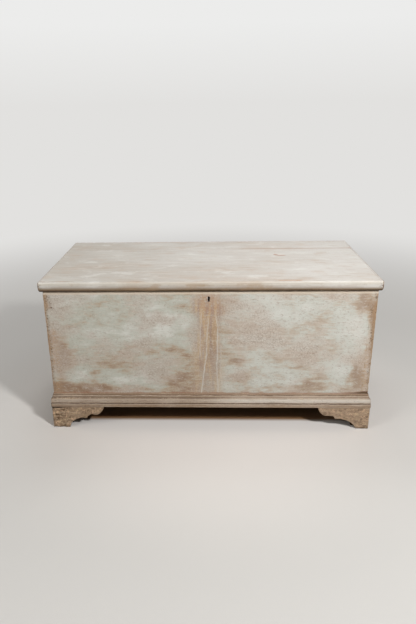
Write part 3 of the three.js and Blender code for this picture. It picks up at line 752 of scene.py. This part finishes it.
class Finish(Nodes):
    """A material being built, coat on coat. The other methods return the socket of their result."""

    def __init__(self, name):
        self.material = bpy.data.materials.new(name)
        self.material.use_nodes = True
        super().__init__(self.material.node_tree)
        self.shader = self.tree.nodes["Principled BSDF"]
        self.place = self.node("ShaderNodeTexCoord").outputs["Object"]
        apart = self.node("ShaderNodeSeparateXYZ", {"Vector": self.place})
        self.x, self.y, self.z = (apart.outputs[axis] for axis in "XYZ")
        self.colour = None

    def size_of(self, value):
        return self.math("ABSOLUTE", value)

    def point(self, name):
        """A value that the mesh's points carry."""
        return self.node("ShaderNodeAttribute", attribute_name=name).outputs["Fac"]

    def scaled(self, size, stretch, seed):
        """The place on the object, counted in marks of a size in metres, drawn out by the stretch."""
        return self.node("ShaderNodeMapping", {
            "Vector": self.place,
            "Location": (seed, seed, seed),
            "Scale": tuple(1 / (size * share) for share in stretch),
        }).outputs[0]

    def noise(self, size, stretch=(1, 1, 1), detail=4, roughness=0.55, seed=0, distortion=0.0):
        """Noise from 0 to 1."""
        pattern = self.node("ShaderNodeTexNoise", {
            "Vector": self.scaled(size, stretch, seed), "Scale": 1.0, "Detail": detail,
            "Roughness": roughness, "Distortion": distortion,
        })
        return pattern.outputs["Fac"]

    def cracks(self, size, stretch, bend):
        """How far a point is from the cracks between bent cells of old paint, in shares of a cell."""
        place = self.scaled(size, stretch, seed=0)
        stray = self.node("ShaderNodeTexNoise", {"Vector": place, "Scale": 1.3, "Detail": 3.0})
        bent = self.node("ShaderNodeVectorMath", {
            0: stray.outputs["Color"], 1: (bend, bend, bend), 2: place,
        }, operation="MULTIPLY_ADD")
        cells = self.node("ShaderNodeTexVoronoi", {
            "Vector": bent.outputs[0], "Scale": 1.0,
        }, feature="DISTANCE_TO_EDGE")
        return cells.outputs["Distance"]

    def ease(self, value, start, end):
        """0 at the start, 1 at the end and smooth between them, whichever of the two is higher."""
        fade = self.node("ShaderNodeMapRange", {
            "Value": value, "From Min": min(start, end), "From Max": max(start, end),
            "To Min": float(start > end), "To Max": float(start < end),
        }, interpolation_type="SMOOTHSTEP")
        return fade.outputs["Result"]

    def inside(self, value, edge, start, full):
        """0 at the first distance inside an edge, 1 at the second and smooth between them."""
        return self.ease(value, edge - start, edge - full)

    def beside(self, value, middle, start, full):
        """0 at the first distance from the middle, either way, and 1 at the second."""
        return self.ease(self.size_of(self.plus(value, -middle)), start, full)

    def band(self, value, middle, half):
        """1 where the value is at the middle, fading to 0 at half a width from it."""
        return self.beside(value, middle, half, half * 0.35)

    def times(self, *factors):
        result = factors[0]
        for factor in factors[1:]:
            result = self.math("MULTIPLY", result, factor)
        return result

    def plus(self, *terms):
        result = terms[0]
        for term in terms[1:]:
            result = self.math("ADD", result, term)
        return result

    def weigh(self, *pairs):
        """The sum of patterns, each times its weight."""
        return self.plus(*[self.times(pattern, weight) for pattern, weight in pairs])

    def coat(self, factor, share, over):
        """Lays a colour over the one so far, as strongly as the factor times the share."""
        self.colour = self.mix(self.times(factor, share), self.colour, over)

    def coats(self, *rows):
        """Lays coats in turn: a pattern, where in it the coat starts and is full, share and colour."""
        for pattern, start, full, share, over in rows:
            self.coat(self.ease(pattern, start, full), share, over)

    def between(self, low, high, factor):
        return self.plus(self.times(factor, high - low), low)

    def around(self, pattern, reach):
        """A pattern from 0 to 1 turned into an offset of up to half the reach either way."""
        return self.times(self.plus(pattern, -0.5), reach)

    def bump(self, height, depth):
        relief = self.node("ShaderNodeBump", {"Height": height, "Distance": depth, "Strength": 1.0})
        self.feed(self.shader.inputs["Normal"], relief.outputs[0])

    def done(self, roughness, **sockets):
        self.feed(self.shader.inputs["Base Color"], self.colour)
        self.feed(self.shader.inputs["Roughness"], roughness)
        for name, value in sockets.items():
            self.feed(self.shader.inputs[name.replace("_", " ")], value)
        return self.material


def bare_wood(f, stretch):
    grain = f.noise(GRAIN, stretch, detail=5)
    return f.mix(grain, WOOD_DARK, WOOD_LIGHT)


def painted_case():
    """Pale sage paint over tan, worn to the wood at the edges and stained below the keyhole."""
    f = Finish("painted_case")
    clouds = f.noise(CLOUD, (1.5, 1.5, 1), detail=8, roughness=0.66)
    drift = f.noise(DRIFT, (1.5, 1.5, 1), detail=7, roughness=0.62, seed=13)
    strokes = f.noise(STROKE, (4, 4, 1), detail=4, seed=3, distortion=0.5)
    bristles = f.noise(BRISTLE, (5, 5, 1), detail=3, seed=7)
    specks = f.noise(SPECK, (1.3, 1.3, 1), detail=4, roughness=0.75, seed=11)
    crackled = f.times(
        f.ease(f.cracks(CRACKLE, (1.5, 1.5, 1), 0.9), 0.14, 0.02), f.ease(drift, 0.5, 0.62),
    )
    side = f.inside(f.size_of(f.x), HALF_WIDTH, *CASE_SIDE)
    foot = f.inside(f.z, BASE_HIGH, *CASE_FOOT)
    # Painted light: the case's paint turns paler toward the right, where the light falls stronger
    right = f.ease(f.x, *CASE_TURNS_PAINTED_LIT)
    kept = f.weigh(
        (clouds, 1.4), (strokes, 0.5), (specks, 0.4), (bristles, 0.4), (side, -0.05), (foot, -0.12),
        (f.point("cover"), 0.95),
    )
    kept = f.plus(kept, -0.84)

    f.colour = f.mix(f.ease(kept, 0.22, 0.40), WORN_BROWN, TAN)
    f.coat(right, 0.25, TAN_PAINTED_LIT)
    f.coats(
        (kept, 0.32, 0.54, 1.0, f.mix(right, SAGE, SAGE_PAINTED_LIT)),
        (kept, 0.52, 0.80, 0.8, SAGE_BRIGHT),
        (drift, 0.46, 0.60, 0.6, f.mix(right, PINKISH, PINKISH_PAINTED_LIT)),
        (bristles, 0.54, 0.74, 0.4, WORN_BROWN),
        (bristles, 0.46, 0.28, 0.4, PALE),
        (specks, 0.54, 0.68, 0.6, WORN_BROWN),
        (specks, 0.46, 0.32, 0.5, CREAM),
    )
    f.coat(crackled, 0.35, WORN_BROWN)
    outside = f.ease(f.plus(f.y, -FRONT_Y), *STAIN_DEPTH)
    stained(f, outside, specks)
    trickles = trickling(f, outside, specks)
    f.coat(trickles, 0.95, PALE)
    worn_at_edges(f, kept, clouds, specks)
    lined(f, strokes)
    f.bump(f.weigh((bristles, 0.35), (specks, 0.5), (trickles, 0.5), (crackled, -0.3)), CASE_RELIEF)
    return f.done(f.between(0.5, 0.75, drift), Specular_IOR_Level=PAINT_GLOSS)


def stained(f, outside, specks):
    """The brown stain that spreads down from the keyhole, redder round it, with a flecked halo."""
    wander = f.around(f.noise(MOTTLE, (1, 1, 1.6), detail=5, seed=21), STAIN_WANDER)
    runs = f.noise(STROKE, (1, 1, 9), detail=4, seed=23)
    flecks = f.noise(SPECK, detail=4, roughness=0.75, seed=29)
    speckled = f.ease(specks, 0.35, 0.6)
    fall = f.ease(f.z, STAIN_FALL, BASE_HIGH)
    flare = f.ease(f.z, STAIN_FLARE_END, STAIN_FLARE_TOP)
    half = f.plus(f.times(flare, STAIN_FLARE), f.times(fall, STAIN_SPREAD), STAIN_HALF)
    across = f.math("DIVIDE", f.size_of(f.plus(f.x, wander, -STAIN_X)), half)
    below = f.ease(f.z, STAIN_START, STAIN_FULL)

    stain = f.times(f.ease(across, 1.4, 0.55), below, outside, f.between(1.0, 0.55, fall))
    stain = f.times(stain, f.between(0.4, 1.0, f.ease(specks, 0.3, 0.55)))
    f.coat(stain, 1.0, f.mix(f.ease(runs, 0.42, 0.58), STAIN_DARK, STAIN_LIGHT))
    halo = f.times(f.ease(across, 2.3, 0.9), below, outside)
    f.coats(
        (flecks, 0.54, 0.64, f.times(halo, 0.5), WORN_BROWN),
        (flecks, 0.46, 0.36, f.times(halo, 0.4), STAIN_FLECK),
    )
    away = f.node("ShaderNodeVectorMath", {0: f.place, 1: KEYHOLE}, operation="DISTANCE")
    red = f.ease(f.plus(away.outputs["Value"], wander), RED_REACH, RED_CORE)
    f.coat(f.times(red, outside, speckled), 0.6, RED_STAIN)
    dark = f.times(f.band(f.plus(f.x, wander), RUN_X, RUN_HALF_X), f.band(f.z, RUN_Z, RUN_HALF_Z))
    f.coat(f.times(dark, outside, speckled), 0.55, WORN_BROWN)


def trickling(f, outside, specks):
    """How strongly the pale trickles show that have run down through the stain."""
    waver = f.around(f.noise(MOTTLE, (1, 1, 0.7), detail=4, seed=25), TRICKLE_WAVER)
    trickles = 0.0
    for top_x, top_z, foot_x, foot_z, strength in TRICKLES:
        lean = (foot_x - top_x) / (top_z - foot_z)
        line = f.plus(f.x, f.times(f.plus(f.z, -top_z), lean), waver, -top_x)
        thin = f.ease(f.size_of(line), TRICKLE_HALF, TRICKLE_CORE)
        starts = f.ease(f.z, *(top_z + reach for reach in TRICKLE_HEAD))
        ends = f.ease(f.z, *(foot_z + reach for reach in TRICKLE_TAIL))
        trickles = f.math("MAXIMUM", f.times(thin, starts, ends, outside, strength), trickles)
    patches = f.noise(MOTTLE, (0.6, 0.6, 1), detail=5, seed=27)
    patchy = f.between(0.70, 1.0, f.ease(patches, 0.42, 0.56))
    return f.times(trickles, f.ease(specks, 0.3, 0.55), patchy)


def worn_at_edges(f, kept, clouds, specks):
    """The case's paint yellowed, rubbed to the wood and chipped towards its upright edges."""
    yellowed = f.times(f.inside(f.size_of(f.x), HALF_WIDTH, *CASE_YELLOW), f.ease(kept, 0.5, 0.3))
    f.coat(f.times(yellowed, f.ease(specks, 0.42, 0.58)), 0.5, OCHRE)
    wear = f.point("wear")
    worn = f.weigh((wear, 0.8), (specks, 1.0), (clouds, 0.6))
    bare = f.mix(f.ease(specks, 0.42, 0.58), bare_wood(f, (24, 24, 1)), OCHRE)
    chipped = f.ease(wear, 0.2, 0.6)
    f.coats(
        (worn, 1.35, 1.75, 0.75, bare),
        (wear, 0.1, 0.8, 0.35, WORN_BROWN),
        (specks, 0.53, 0.62, f.times(chipped, 0.8), GRIME),
    )


def lined(f, strokes):
    """A pale line under the lid, and a rusty one along the base that thickens into grime."""
    # Rubbed paint and painted light: a pale strip below the lid, where the nose's shadow falls
    f.coat(f.inside(f.z, LID_LOW, *CASE_UNDER_LID), 0.75, UNDER_LID_RUB_AND_LIGHT)
    wedge = f.inside(f.x, HALF_WIDTH, *CASE_WEDGE)
    stray = f.around(strokes, LINE_WANDER)
    rise = f.plus(f.z, stray, f.times(wedge, -LINE_WANDER), -BASE_HIGH)
    f.coats(
        (rise, *BASE_RUST_LINE, 0.6, RUST_LINE),
        (rise, *BASE_GRIME_LINE, f.times(wedge, 0.85), GRIME),
    )


def painted_lid():
    """Cream-grey paint in long streaks, with the wood showing along the edges and the seam."""
    f = Finish("painted_lid")
    clouds = f.noise(CLOUD, (2.8, 1, 1), detail=5, seed=5)
    streaks = f.noise(STREAK, (12, 1, 1), detail=5, roughness=0.6, distortion=0.15)
    mottle = f.noise(MOTTLE, (1.8, 1, 1), detail=6, roughness=0.65, seed=17)
    bristles = f.noise(BRISTLE, (16, 1, 1), detail=3, seed=9)
    specks = f.noise(SPECK, (1.8, 1, 1), detail=4, roughness=0.7, seed=2)
    kept = f.weigh((clouds, 0.75), (streaks, 0.5), (bristles, 0.2), (specks, 0.1))
    kept = f.plus(kept, f.point("cover"), -0.275)
    f.colour = f.mix(f.ease(clouds, 0.4, 0.62), LID_GREY, LID_CREAM)
    f.coats(
        (kept, 0.50, 0.68, 0.75, LID_KEPT),
        (kept, 0.48, 0.33, 0.65, LID_THIN),
        (kept, 0.35, 0.20, 0.75, LID_WORN),
        # Painted shade and painted light: the lid turns duller toward the left and paler toward the right
        (f.x, *LID_TURNS_PAINTED_SHADE, 0.42, LID_PAINTED_SHADE),
        (f.x, *LID_TURNS_PAINTED_LIT, 0.30, LID_PAINTED_LIGHT),
        (mottle, 0.52, 0.66, 0.38, LID_MOTTLE_DARK),
        (mottle, 0.46, 0.34, 0.45, LID_MOTTLE_PALE),
        (bristles, 0.54, 0.72, 0.45, LID_BRISTLE_DARK),
        (bristles, 0.45, 0.28, 0.42, LID_BRISTLE_PALE),
        (specks, 0.56, 0.72, 0.42, LID_SPECK),
    )
    knotted(f, streaks)
    jointed(f, streaks, mottle)
    nosed(f, streaks, mottle, specks)
    worn = f.weigh((f.point("wear"), 0.7), (specks, 0.8), (clouds, 0.8))
    bare = f.mix(f.ease(specks, 0.42, 0.6), bare_wood(f, (30, 1, 1)), LID_BARE)
    f.coat(f.ease(worn, 1.4, 1.75), 0.7, bare)
    f.bump(f.weigh((bristles, 0.4), (streaks, 0.3), (specks, 0.3)), LID_RELIEF)
    return f.done(f.between(0.42, 0.62, streaks), Specular_IOR_Level=PAINT_GLOSS)


def knotted(f, streaks):
    """A knot under the paint: a reddish crescent round a pale eye."""
    right_of = f.plus(f.x, -KNOT.x)
    across = f.math("DIVIDE", right_of, KNOT_STRETCH * KNOT_SIZE)
    along = f.math("DIVIDE", f.plus(f.y, -KNOT.y), KNOT_SIZE)
    far = f.math("SQRT", f.plus(f.times(across, across), f.times(along, along)))
    far = f.plus(far, f.around(streaks, 0.9))
    f.coat(f.ease(far, 1.2, 0.3), 0.6, KNOT_EYE)
    slope = f.plus(f.y, f.times(right_of, KNOT_SLOPE), -KNOT.y)
    crescent = f.times(f.band(far, 1.05, 0.55), f.ease(slope, *KNOT_CRESCENT))
    f.coat(crescent, 0.75, KNOT_RED)


def jointed(f, streaks, mottle):
    """Rust and bare wood along the seam, the front moulding's joint and the lid's sides and back."""
    seam = f.times(
        f.beside(f.y, LID_SEAM_Y, *LID_SEAM_LINE), f.ease(streaks, 0.35, 0.6),
        f.between(0.35, 1.0, f.ease(f.x, *SEAM_TURNS_RED)),
    )
    f.coat(seam, 0.8, RUST_LINE)
    bare = f.plus(f.beside(f.x, BARE_JOINT_X, *BARE_JOINT_HALF), f.ease(streaks, 0.6, 0.7))
    joint = f.times(f.beside(f.y, LID_JOINT_Y, *LID_JOINT_LINE), bare)
    f.coat(joint, 0.7, LID_JOINT_BROWN)
    rim = f.weigh((f.inside(f.size_of(f.x), LID_REACH, *LID_RIM), 1.0), (mottle, 0.8))
    back = f.weigh((f.inside(f.y, LID_BACK, *LID_BACK_RIM), 1.0), (streaks, 0.8))
    f.coats(
        (rim, 1.05, 1.35, 0.85, LID_RIM_BROWN),
        (back, 1.10, 1.45, 0.70, RUST_LINE),
    )


def nosed(f, streaks, mottle, specks):
    """The lid's nose: painted highlight on top, painted shade below, smudged, spotted at its ends."""
    uneven = f.plus(f.z, f.around(streaks, NOSE_STREAK_WAVER), f.around(specks, NOSE_SPECK_WAVER))
    crown = f.band(f.z, LID_HIGH - NOSE_HIGHLIGHT_DROP, NOSE_HIGHLIGHT_DROP)
    smudged = f.inside(f.z, LID_HIGH, *NOSE_SMUDGE_DROP)
    spotted = f.times(
        f.inside(f.size_of(f.x), LID_REACH, *LID_ENDS), f.inside(f.z, LID_HIGH, *NOSE_SPOT_DROP),
        f.between(0.25, 1.0, f.ease(f.y, FRONT_Y + NOSE_SPOT_DEPTH, FRONT_Y)),
    )
    # Painted highlight on the crown; painted shade darkening down the nose's face and darkest on its lip,
    # where shade falls
    f.coat(crown, 0.35, NOSE_PAINTED_HIGHLIGHT)
    f.coat(f.inside(uneven, LID_HIGH, *NOSE_PAINTED_SHADE_DROP), 0.9, NOSE_PAINTED_SHADE)
    f.coat(f.ease(f.plus(uneven, -LID_LOW), *NOSE_LIP_PAINTED_SHADE_FALL), 0.95, NOSE_LIP_PAINTED_SHADE)
    f.coats(
        (mottle, 0.50, 0.64, f.times(smudged, 0.4), NOSE_SMUDGE),
        (specks, 0.46, 0.58, f.times(spotted, 0.75), GRIME),
    )


def painted_base():
    """Taupe-brown paint, dirt and painted shade in the quirks, rubbed along the arrises."""
    f = Finish("painted_base")
    mottle = f.noise(MOTTLE, (2.4, 2.4, 1), detail=5, roughness=0.6)
    dabs = f.noise(DAB, (3, 3, 1), detail=5, roughness=0.65, seed=6)
    specks = f.noise(SPECK, (1.3, 1.3, 1), detail=5, roughness=0.75, seed=4)
    bristles = f.noise(BRISTLE, (12, 12, 1), detail=3, seed=8)
    crust = f.noise(CRUST, (1.2, 1.2, 1), detail=5, roughness=0.75, seed=19)
    rise = f.plus(f.z, f.around(dabs, BASE_WAVER), -BASE_LOW)
    foot = f.ease(rise, *FOOT_COAT)
    # Painted light: how far toward the lit right a point lies, which strengthens the crown's painted
    # highlight and weakens the cove's painted shade
    right = f.ease(f.x, *BASE_TURNS_PAINTED_LIT)
    gnarl = f.ease(f.point("cover"), 0.2, 0.8)

    # Painted highlight on the ovolo's crown, stronger toward the lit right
    crown = f.times(f.band(rise, CROWN_RISE, CROWN_HALF), f.between(0.3, 0.9, right))
    f.colour = f.mix(f.ease(mottle, 0.4, 0.62), BASE_DARK, BASE_LIGHT)
    f.coat(crown, 0.9, CROWN_PAINTED_HIGHLIGHT)
    f.coats(
        (rise, *SEAM_COAT, 0.70, WORN_BROWN),
        (rise, *FASCIA_COAT, 0.35, FASCIA_DARK),
        # Painted shade: the base turns darker toward the left
        (f.x, *BASE_TURNS_PAINTED_SHADE, 0.30, BASE_SHADED),
    )
    rough_footed(f, foot, gnarl, dabs, crust)
    f.coats(
        (bristles, 0.54, 0.72, 0.3, BASE_BRISTLE_PALE),
        (bristles, 0.46, 0.30, 0.3, BASE_BRISTLE_DARK),
        (specks, 0.55, 0.66, f.between(0.40, 0.85, gnarl), BASE_SPECK_DARK),
        (specks, 0.45, 0.34, f.between(0.38, 0.80, gnarl), BASE_SPECK_PALE),
    )
    moulded(f, rise, right)
    worn = f.weigh((f.point("wear"), 0.8), (specks, 1.0), (mottle, 0.6))
    bare = f.mix(f.ease(specks, 0.4, 0.62), bare_wood(f, (26, 26, 1)), BASE_BARE)
    f.coat(f.ease(worn, 1.4, 1.75), 0.55, bare)
    f.bump(f.weigh((specks, 0.7), (bristles, 0.3), (f.times(crust, foot), -0.8)), BASE_RELIEF)
    return f.done(f.between(0.55, 0.8, specks), Specular_IOR_Level=PAINT_GLOSS)


def rough_footed(f, foot, gnarl, dabs, crust):
    """The feet's paint, crusted and blotched, most of all where they are gnarled."""
    f.coat(foot, 0.85, f.mix(f.ease(dabs, 0.4, 0.6), FOOT_DARK, FOOT_LIGHT))
    # Painted light: a paler copy of the foot paint on the right foot
    f.coat(f.times(foot, f.ease(f.x, *FOOT_TURNS_PAINTED_LIT)), 0.5, FOOT_PAINTED_LIT)
    blotched = f.times(foot, f.between(0.65, 1.0, gnarl))
    f.coats(
        (dabs, 0.52, 0.63, f.times(blotched, 0.75), BASE_SPECK_DARK),
        (dabs, 0.47, 0.36, f.times(blotched, 0.65), DAB_PALE),
        (crust, 0.54, 0.62, f.times(blotched, 0.7), CRUST_DARK),
        (crust, 0.46, 0.39, f.times(blotched, 0.9), CRUST_PALE),
    )


def moulded(f, rise, right):
    """Dirt and painted shade in the hollows, painted highlights on edges, dirt near the floor."""
    # Dirt and painted shade in the quirk and the crease at the bead's top, painted shade in the cove,
    # stronger to the left, painted highlights on the bead and fascia, painted shade atop the left foot
    for at, half, share, over in (
        (QUIRK_RISE, QUIRK_HALF, 0.85, QUIRK_DIRT_AND_SHADE),
        (COVE_RISE, COVE_HALF, f.between(0.75, 0.35, right), COVE_PAINTED_SHADE),
        (SEAM_RISE, LINE_HALF, 0.75, SEAM_DIRT_AND_SHADE),
        (BEAD_RISE, LINE_HALF, 0.60, BEAD_PAINTED_HIGHLIGHT),
        (FASCIA_RISE - 0.001, LINE_HALF, 0.45, FASCIA_PAINTED_HIGHLIGHT),
        (FOOT_SHADE_RISE, FOOT_SHADE_HALF, f.ease(f.x, *FOOT_SHADE_TURNS), FOOT_PAINTED_SHADE),
    ):
        f.coat(f.band(rise, at, half), share, over)
    f.coat(f.ease(f.z, *FLOOR_DIRT), 0.6, GRIME)


def bare_pine(name, stretch):
    """Unpainted old pine, dusty, its grain drawn out by the stretch, with painted shade by the floor."""
    f = Finish(name)
    rings = f.noise(RINGS, stretch, detail=6, roughness=0.6, distortion=0.6)
    pores = f.noise(PORE, stretch, detail=3, seed=3)
    dust = f.noise(MOTTLE, detail=4, seed=6)
    f.colour = f.mix(f.ease(rings, 0.35, 0.65), PINE_LIGHT, PINE_DARK)
    f.coat(f.ease(pores, 0.55, 0.7), 0.45, PINE_DARK)
    f.coat(dust, 0.35, PINE_DUST)
    # Painted shade: the pine darkens to near black close to the floor, under the chest
    under = f.ease(f.plus(f.z, -BASE_LOW), *BOARD_SHADE)
    f.coat(under, 0.9, PINE_PAINTED_SHADE)
    f.bump(f.weigh((pores, 0.5), (rings, 0.4)), PINE_RELIEF)
    return f.done(f.between(0.6, 0.8, rings), Specular_IOR_Level=PINE_GLOSS)


def old_metal(name, dark, bright, rust_share):
    """Old iron or steel, dull and pitted, with rust in its hollows."""
    f = Finish(name)
    pits = f.noise(METAL_PIT, detail=6, roughness=0.7)
    blotch = f.noise(GRAIN, detail=5, seed=4)
    rusty = f.ease(blotch, 0.62 - rust_share, 0.78 - rust_share)
    f.colour = f.mix(pits, dark, bright)
    f.coat(rusty, 0.7, RUST)
    f.bump(pits, METAL_RELIEF)
    return f.done(f.between(0.38, 0.7, blotch), Metallic=f.between(0.9, 0.45, rusty))


def keyhole_lining():
    """Dark iron let into the front, with a painted glint along its left side."""
    f = Finish("keyhole_lining")
    pits = f.noise(PORE, detail=5)
    # Painted glint: a bright streak along the lining's left side, where light would catch it
    rubbed = f.inside(f.plus(f.x, f.around(pits, LINING_WAVER)), KEYHOLE.x, *LINING_GLINT_REACH)
    f.colour = f.mix(pits, LINING_DARK, LINING_LIGHT)
    f.coat(rubbed, 0.9, LINING_PAINTED_GLINT)
    f.bump(pits, LINING_RELIEF)
    return f.done(0.7, Metallic=0.0)


def set_material(piece, material):
    piece.data.materials.clear()
    piece.data.materials.append(material)


def leave_bare(piece, material, *directions):
    """Leaves the faces that look in some directions unpainted."""
    piece.data.materials.append(material)
    for polygon in piece.data.polygons:
        if any(polygon.normal.dot(toward) > FACING for toward in directions):
            polygon.material_index = 1


def soften(node, width):
    """A slight rounding of a small piece's arrises."""
    bevel = frame["nodes"][node].modifiers.new("soften", "BEVEL")
    bevel.width = width
    bevel.segments = 2
    bevel.limit_method = "ANGLE"
    bevel.angle_limit = SHARP_ANGLE
    bevel.use_clamp_overlap = True


# Stage

def build_camera():
    data = bpy.data.cameras.new("camera")
    data.sensor_fit = "AUTO"
    data.sensor_width = SENSOR_HEIGHT
    data.lens = FOCAL_PIXELS / IMAGE_HEIGHT * SENSOR_HEIGHT
    data.shift_x = -OPTICAL_AXIS_PIXELS[0] / IMAGE_HEIGHT
    data.shift_y = OPTICAL_AXIS_PIXELS[1] / IMAGE_HEIGHT
    camera = bpy.data.objects.new("camera", data)
    camera.location = CAMERA_FROM_FRONT + Vector((0, FRONT_Y, 0))
    turn = Matrix.Rotation(-CAMERA_YAW, 3, "Z") @ Matrix.Rotation(math.pi / 2 - CAMERA_PITCH, 3, "X")
    camera.rotation_euler = (turn @ Matrix.Rotation(CAMERA_ROLL, 3, "Z")).to_euler()
    bpy.context.scene.collection.objects.link(camera)
    bpy.context.scene.camera = camera


def floor_finish():
    """Pale cloth, brown under the chest, that fades into the backdrop and dims what it bounces."""
    f = Finish("floor")
    shown = f.seen_directly()
    away = f.node("ShaderNodeVectorMath", {0: f.place}, operation="LENGTH").outputs["Value"]
    glow = f.node("ShaderNodeEmission", {"Color": BACKDROP_LOW, "Strength": 1.0}).outputs[0]
    # A glow over the floor: a fifth of it from half a metre out, painted light that lifts the chest's
    # shadows, and the rest where the floor fades into the backdrop
    fade = f.weigh((f.ease(away, *FLOOR_SHADOW_GLOW), 0.2), (f.ease(away, *FLOOR_FADE), 0.8))
    blend = f.node("ShaderNodeMixShader", {0: f.times(shown, fade), 1: f.shader.outputs[0], 2: glow})
    f.feed(f.tree.nodes["Material Output"].inputs["Surface"], blend.outputs[0])
    cloth = f.noise(PORE, detail=2)
    f.bump(cloth, CLOTH_RELIEF)
    # Painted light: the floor is paler near the chest
    f.colour = f.mix(f.ease(away, *FLOOR_TURNS_FAR), FLOOR_PAINTED_LIGHT_NEAR, FLOOR_FAR)
    f.coat(cloth, 0.12, FLOOR_WEAVE)
    # Painted shade: the floor turns brown under the chest
    under = f.times(
        f.ease(f.size_of(f.x), HALF_WIDTH, HALF_WIDTH - UNDER_EDGE),
        f.ease(f.y, *(FRONT_Y + inset for inset in UNDER_FRONT)),
        f.ease(f.y, BACK_Y, BACK_Y - UNDER_EDGE),
    )
    f.coat(under, 1.0, FLOOR_PAINTED_SHADE)
    f.colour = f.mix(shown, FLOOR_BOUNCE, f.colour)
    return f.done(0.95)


def build_floor():
    corners = [(x * FLOOR_REACH, y * FLOOR_REACH, 0) for x, y in ((-1, -1), (1, -1), (1, 1), (-1, 1))]
    mesh = bpy.data.meshes.new("floor")
    mesh.from_pydata(corners, [], [(0, 1, 2, 3)])
    floor = bpy.data.objects.new("floor", mesh)
    bpy.context.scene.collection.objects.link(floor)
    floor.data.materials.append(floor_finish())


def build_world():
    """Even studio light. What the camera sees behind the floor is a plain backdrop, paler upward."""
    world = bpy.data.worlds.new("studio")
    bpy.context.scene.world = world
    world.use_nodes = True
    world.node_tree.nodes.clear()
    sky = Nodes(world.node_tree)
    way = sky.node("ShaderNodeTexCoord").outputs["Generated"]
    up = sky.node("ShaderNodeSeparateXYZ", {"Vector": way}).outputs["Z"]
    height = sky.node("ShaderNodeMapRange", {"Value": up, "From Max": BACKDROP_TOP}).outputs["Result"]
    backdrop = sky.node("ShaderNodeBackground", {"Color": sky.mix(height, BACKDROP_LOW, BACKDROP_HIGH)})
    light = sky.node("ShaderNodeBackground", {"Color": AMBIENT_COLOUR, "Strength": AMBIENT})
    blend = sky.node("ShaderNodeMixShader", {
        0: sky.seen_directly(), 1: light.outputs[0], 2: backdrop.outputs[0],
    })
    sky.node("ShaderNodeOutputWorld", {"Surface": blend.outputs[0]})


def add_lamp(lamp):
    """A round soft light at its place, turned to its target."""
    data = bpy.data.lights.new(lamp.name, "AREA")
    data.shape = "DISK"
    data.size = lamp.size
    data.energy = lamp.watts
    data.color = lamp.colour
    light = bpy.data.objects.new(lamp.name, data)
    light.location = lamp.place
    way = Vector(lamp.target) - Vector(lamp.place)
    light.rotation_euler = way.to_track_quat("-Z", "Y").to_euler()
    bpy.context.scene.collection.objects.link(light)


def build_stage():
    build_camera()
    build_floor()
    build_world()
    for lamp in LAMPS:
        add_lamp(lamp)
    bpy.context.scene.view_settings.view_transform = "Standard"


# Dressing the chest

def dress_boards(paint, pine_x, pine_y):
    """The four walls, painted outside and bare within and on top."""
    inward = {
        "front_board": (Vector((0, 1, 0)), pine_x),
        "back_board": (Vector((0, -1, 0)), pine_x),
        "left_side_board": (Vector((1, 0, 0)), pine_y),
        "right_side_board": (Vector((-1, 0, 0)), pine_y),
    }
    corners = case_corners()
    for node, (toward, pine) in inward.items():
        board = worn_copy(
            node, BOARD_WEAR, on_outer_corner(node), moved=wear_case, cover=FRONT_COVER, rub=FRONT_RUB,
            lines=corners,
        )
        set_material(board, paint)
        leave_bare(board, pine, toward, Vector((0, 0, 1)))


def dress_lid(paint, pine_x):
    """The lid's two boards, bare below, and its moulding."""
    for node in ("lid_board_front", "lid_board_rear"):
        board = worn_copy(node, BOARD_WEAR, on_back_of_lid, cover=LID_COVER)
        set_material(board, paint)
        leave_bare(board, pine_x, Vector((0, 0, -1)))
    outline = outline_of("lid_moulding_front")
    for end in ("front", "left", "right"):
        nose = worn_copy("lid_moulding_" + end, NOSE_WEAR, on_proud_side, cover=LID_COVER, outline=outline)
        set_material(nose, paint)


def dress_base(paint):
    """The base moulding and the scrolled feet."""
    outline = outline_of("base_moulding_front")
    for end in ("front", "left", "right"):
        moulding = worn_copy("base_moulding_" + end, BASE_WEAR, on_proud_side, outline=outline)
        set_material(moulding, paint)
    outline = outline_of("foot_bracket_front_left")
    for side in ("left", "right"):
        for kind in ("bracket_front", "return_front", "return_rear", "bracket_rear"):
            foot = worn_copy(f"foot_{kind}_{side}", FOOT_WEAR, anywhere, cover=FOOT_GNARL, outline=outline)
            set_material(foot, paint)


def dress_fittings(materials):
    """Fittings and hidden wood keep the frame's shapes, with softened arrises."""
    for node, slot in SLOT_OF.items():
        if slot in materials:
            set_material(frame["nodes"][node], materials[slot])
            soften(node, SOFT_WOOD if slot == "bare_pine" else SOFT_METAL)
    set_material(frame["nodes"]["keyhole_escutcheon"], keyhole_lining())


def dress_chest():
    pine_lengthwise = bare_pine("bare_pine_lengthwise", (22, 1, 1))
    pine_crosswise = bare_pine("bare_pine_crosswise", (1, 22, 1))
    dress_boards(painted_case(), pine_lengthwise, pine_crosswise)
    dress_lid(painted_lid(), pine_lengthwise)
    dress_base(painted_base())
    dress_fittings({
        "bare_pine": pine_lengthwise,
        "dark_iron": old_metal("dark_iron", IRON_DARK, IRON_LIGHT, 0.08),
        "worn_steel": old_metal("worn_steel", STEEL_DARK, STEEL_LIGHT, 0.0),
    })


build_stage()
dress_chest()
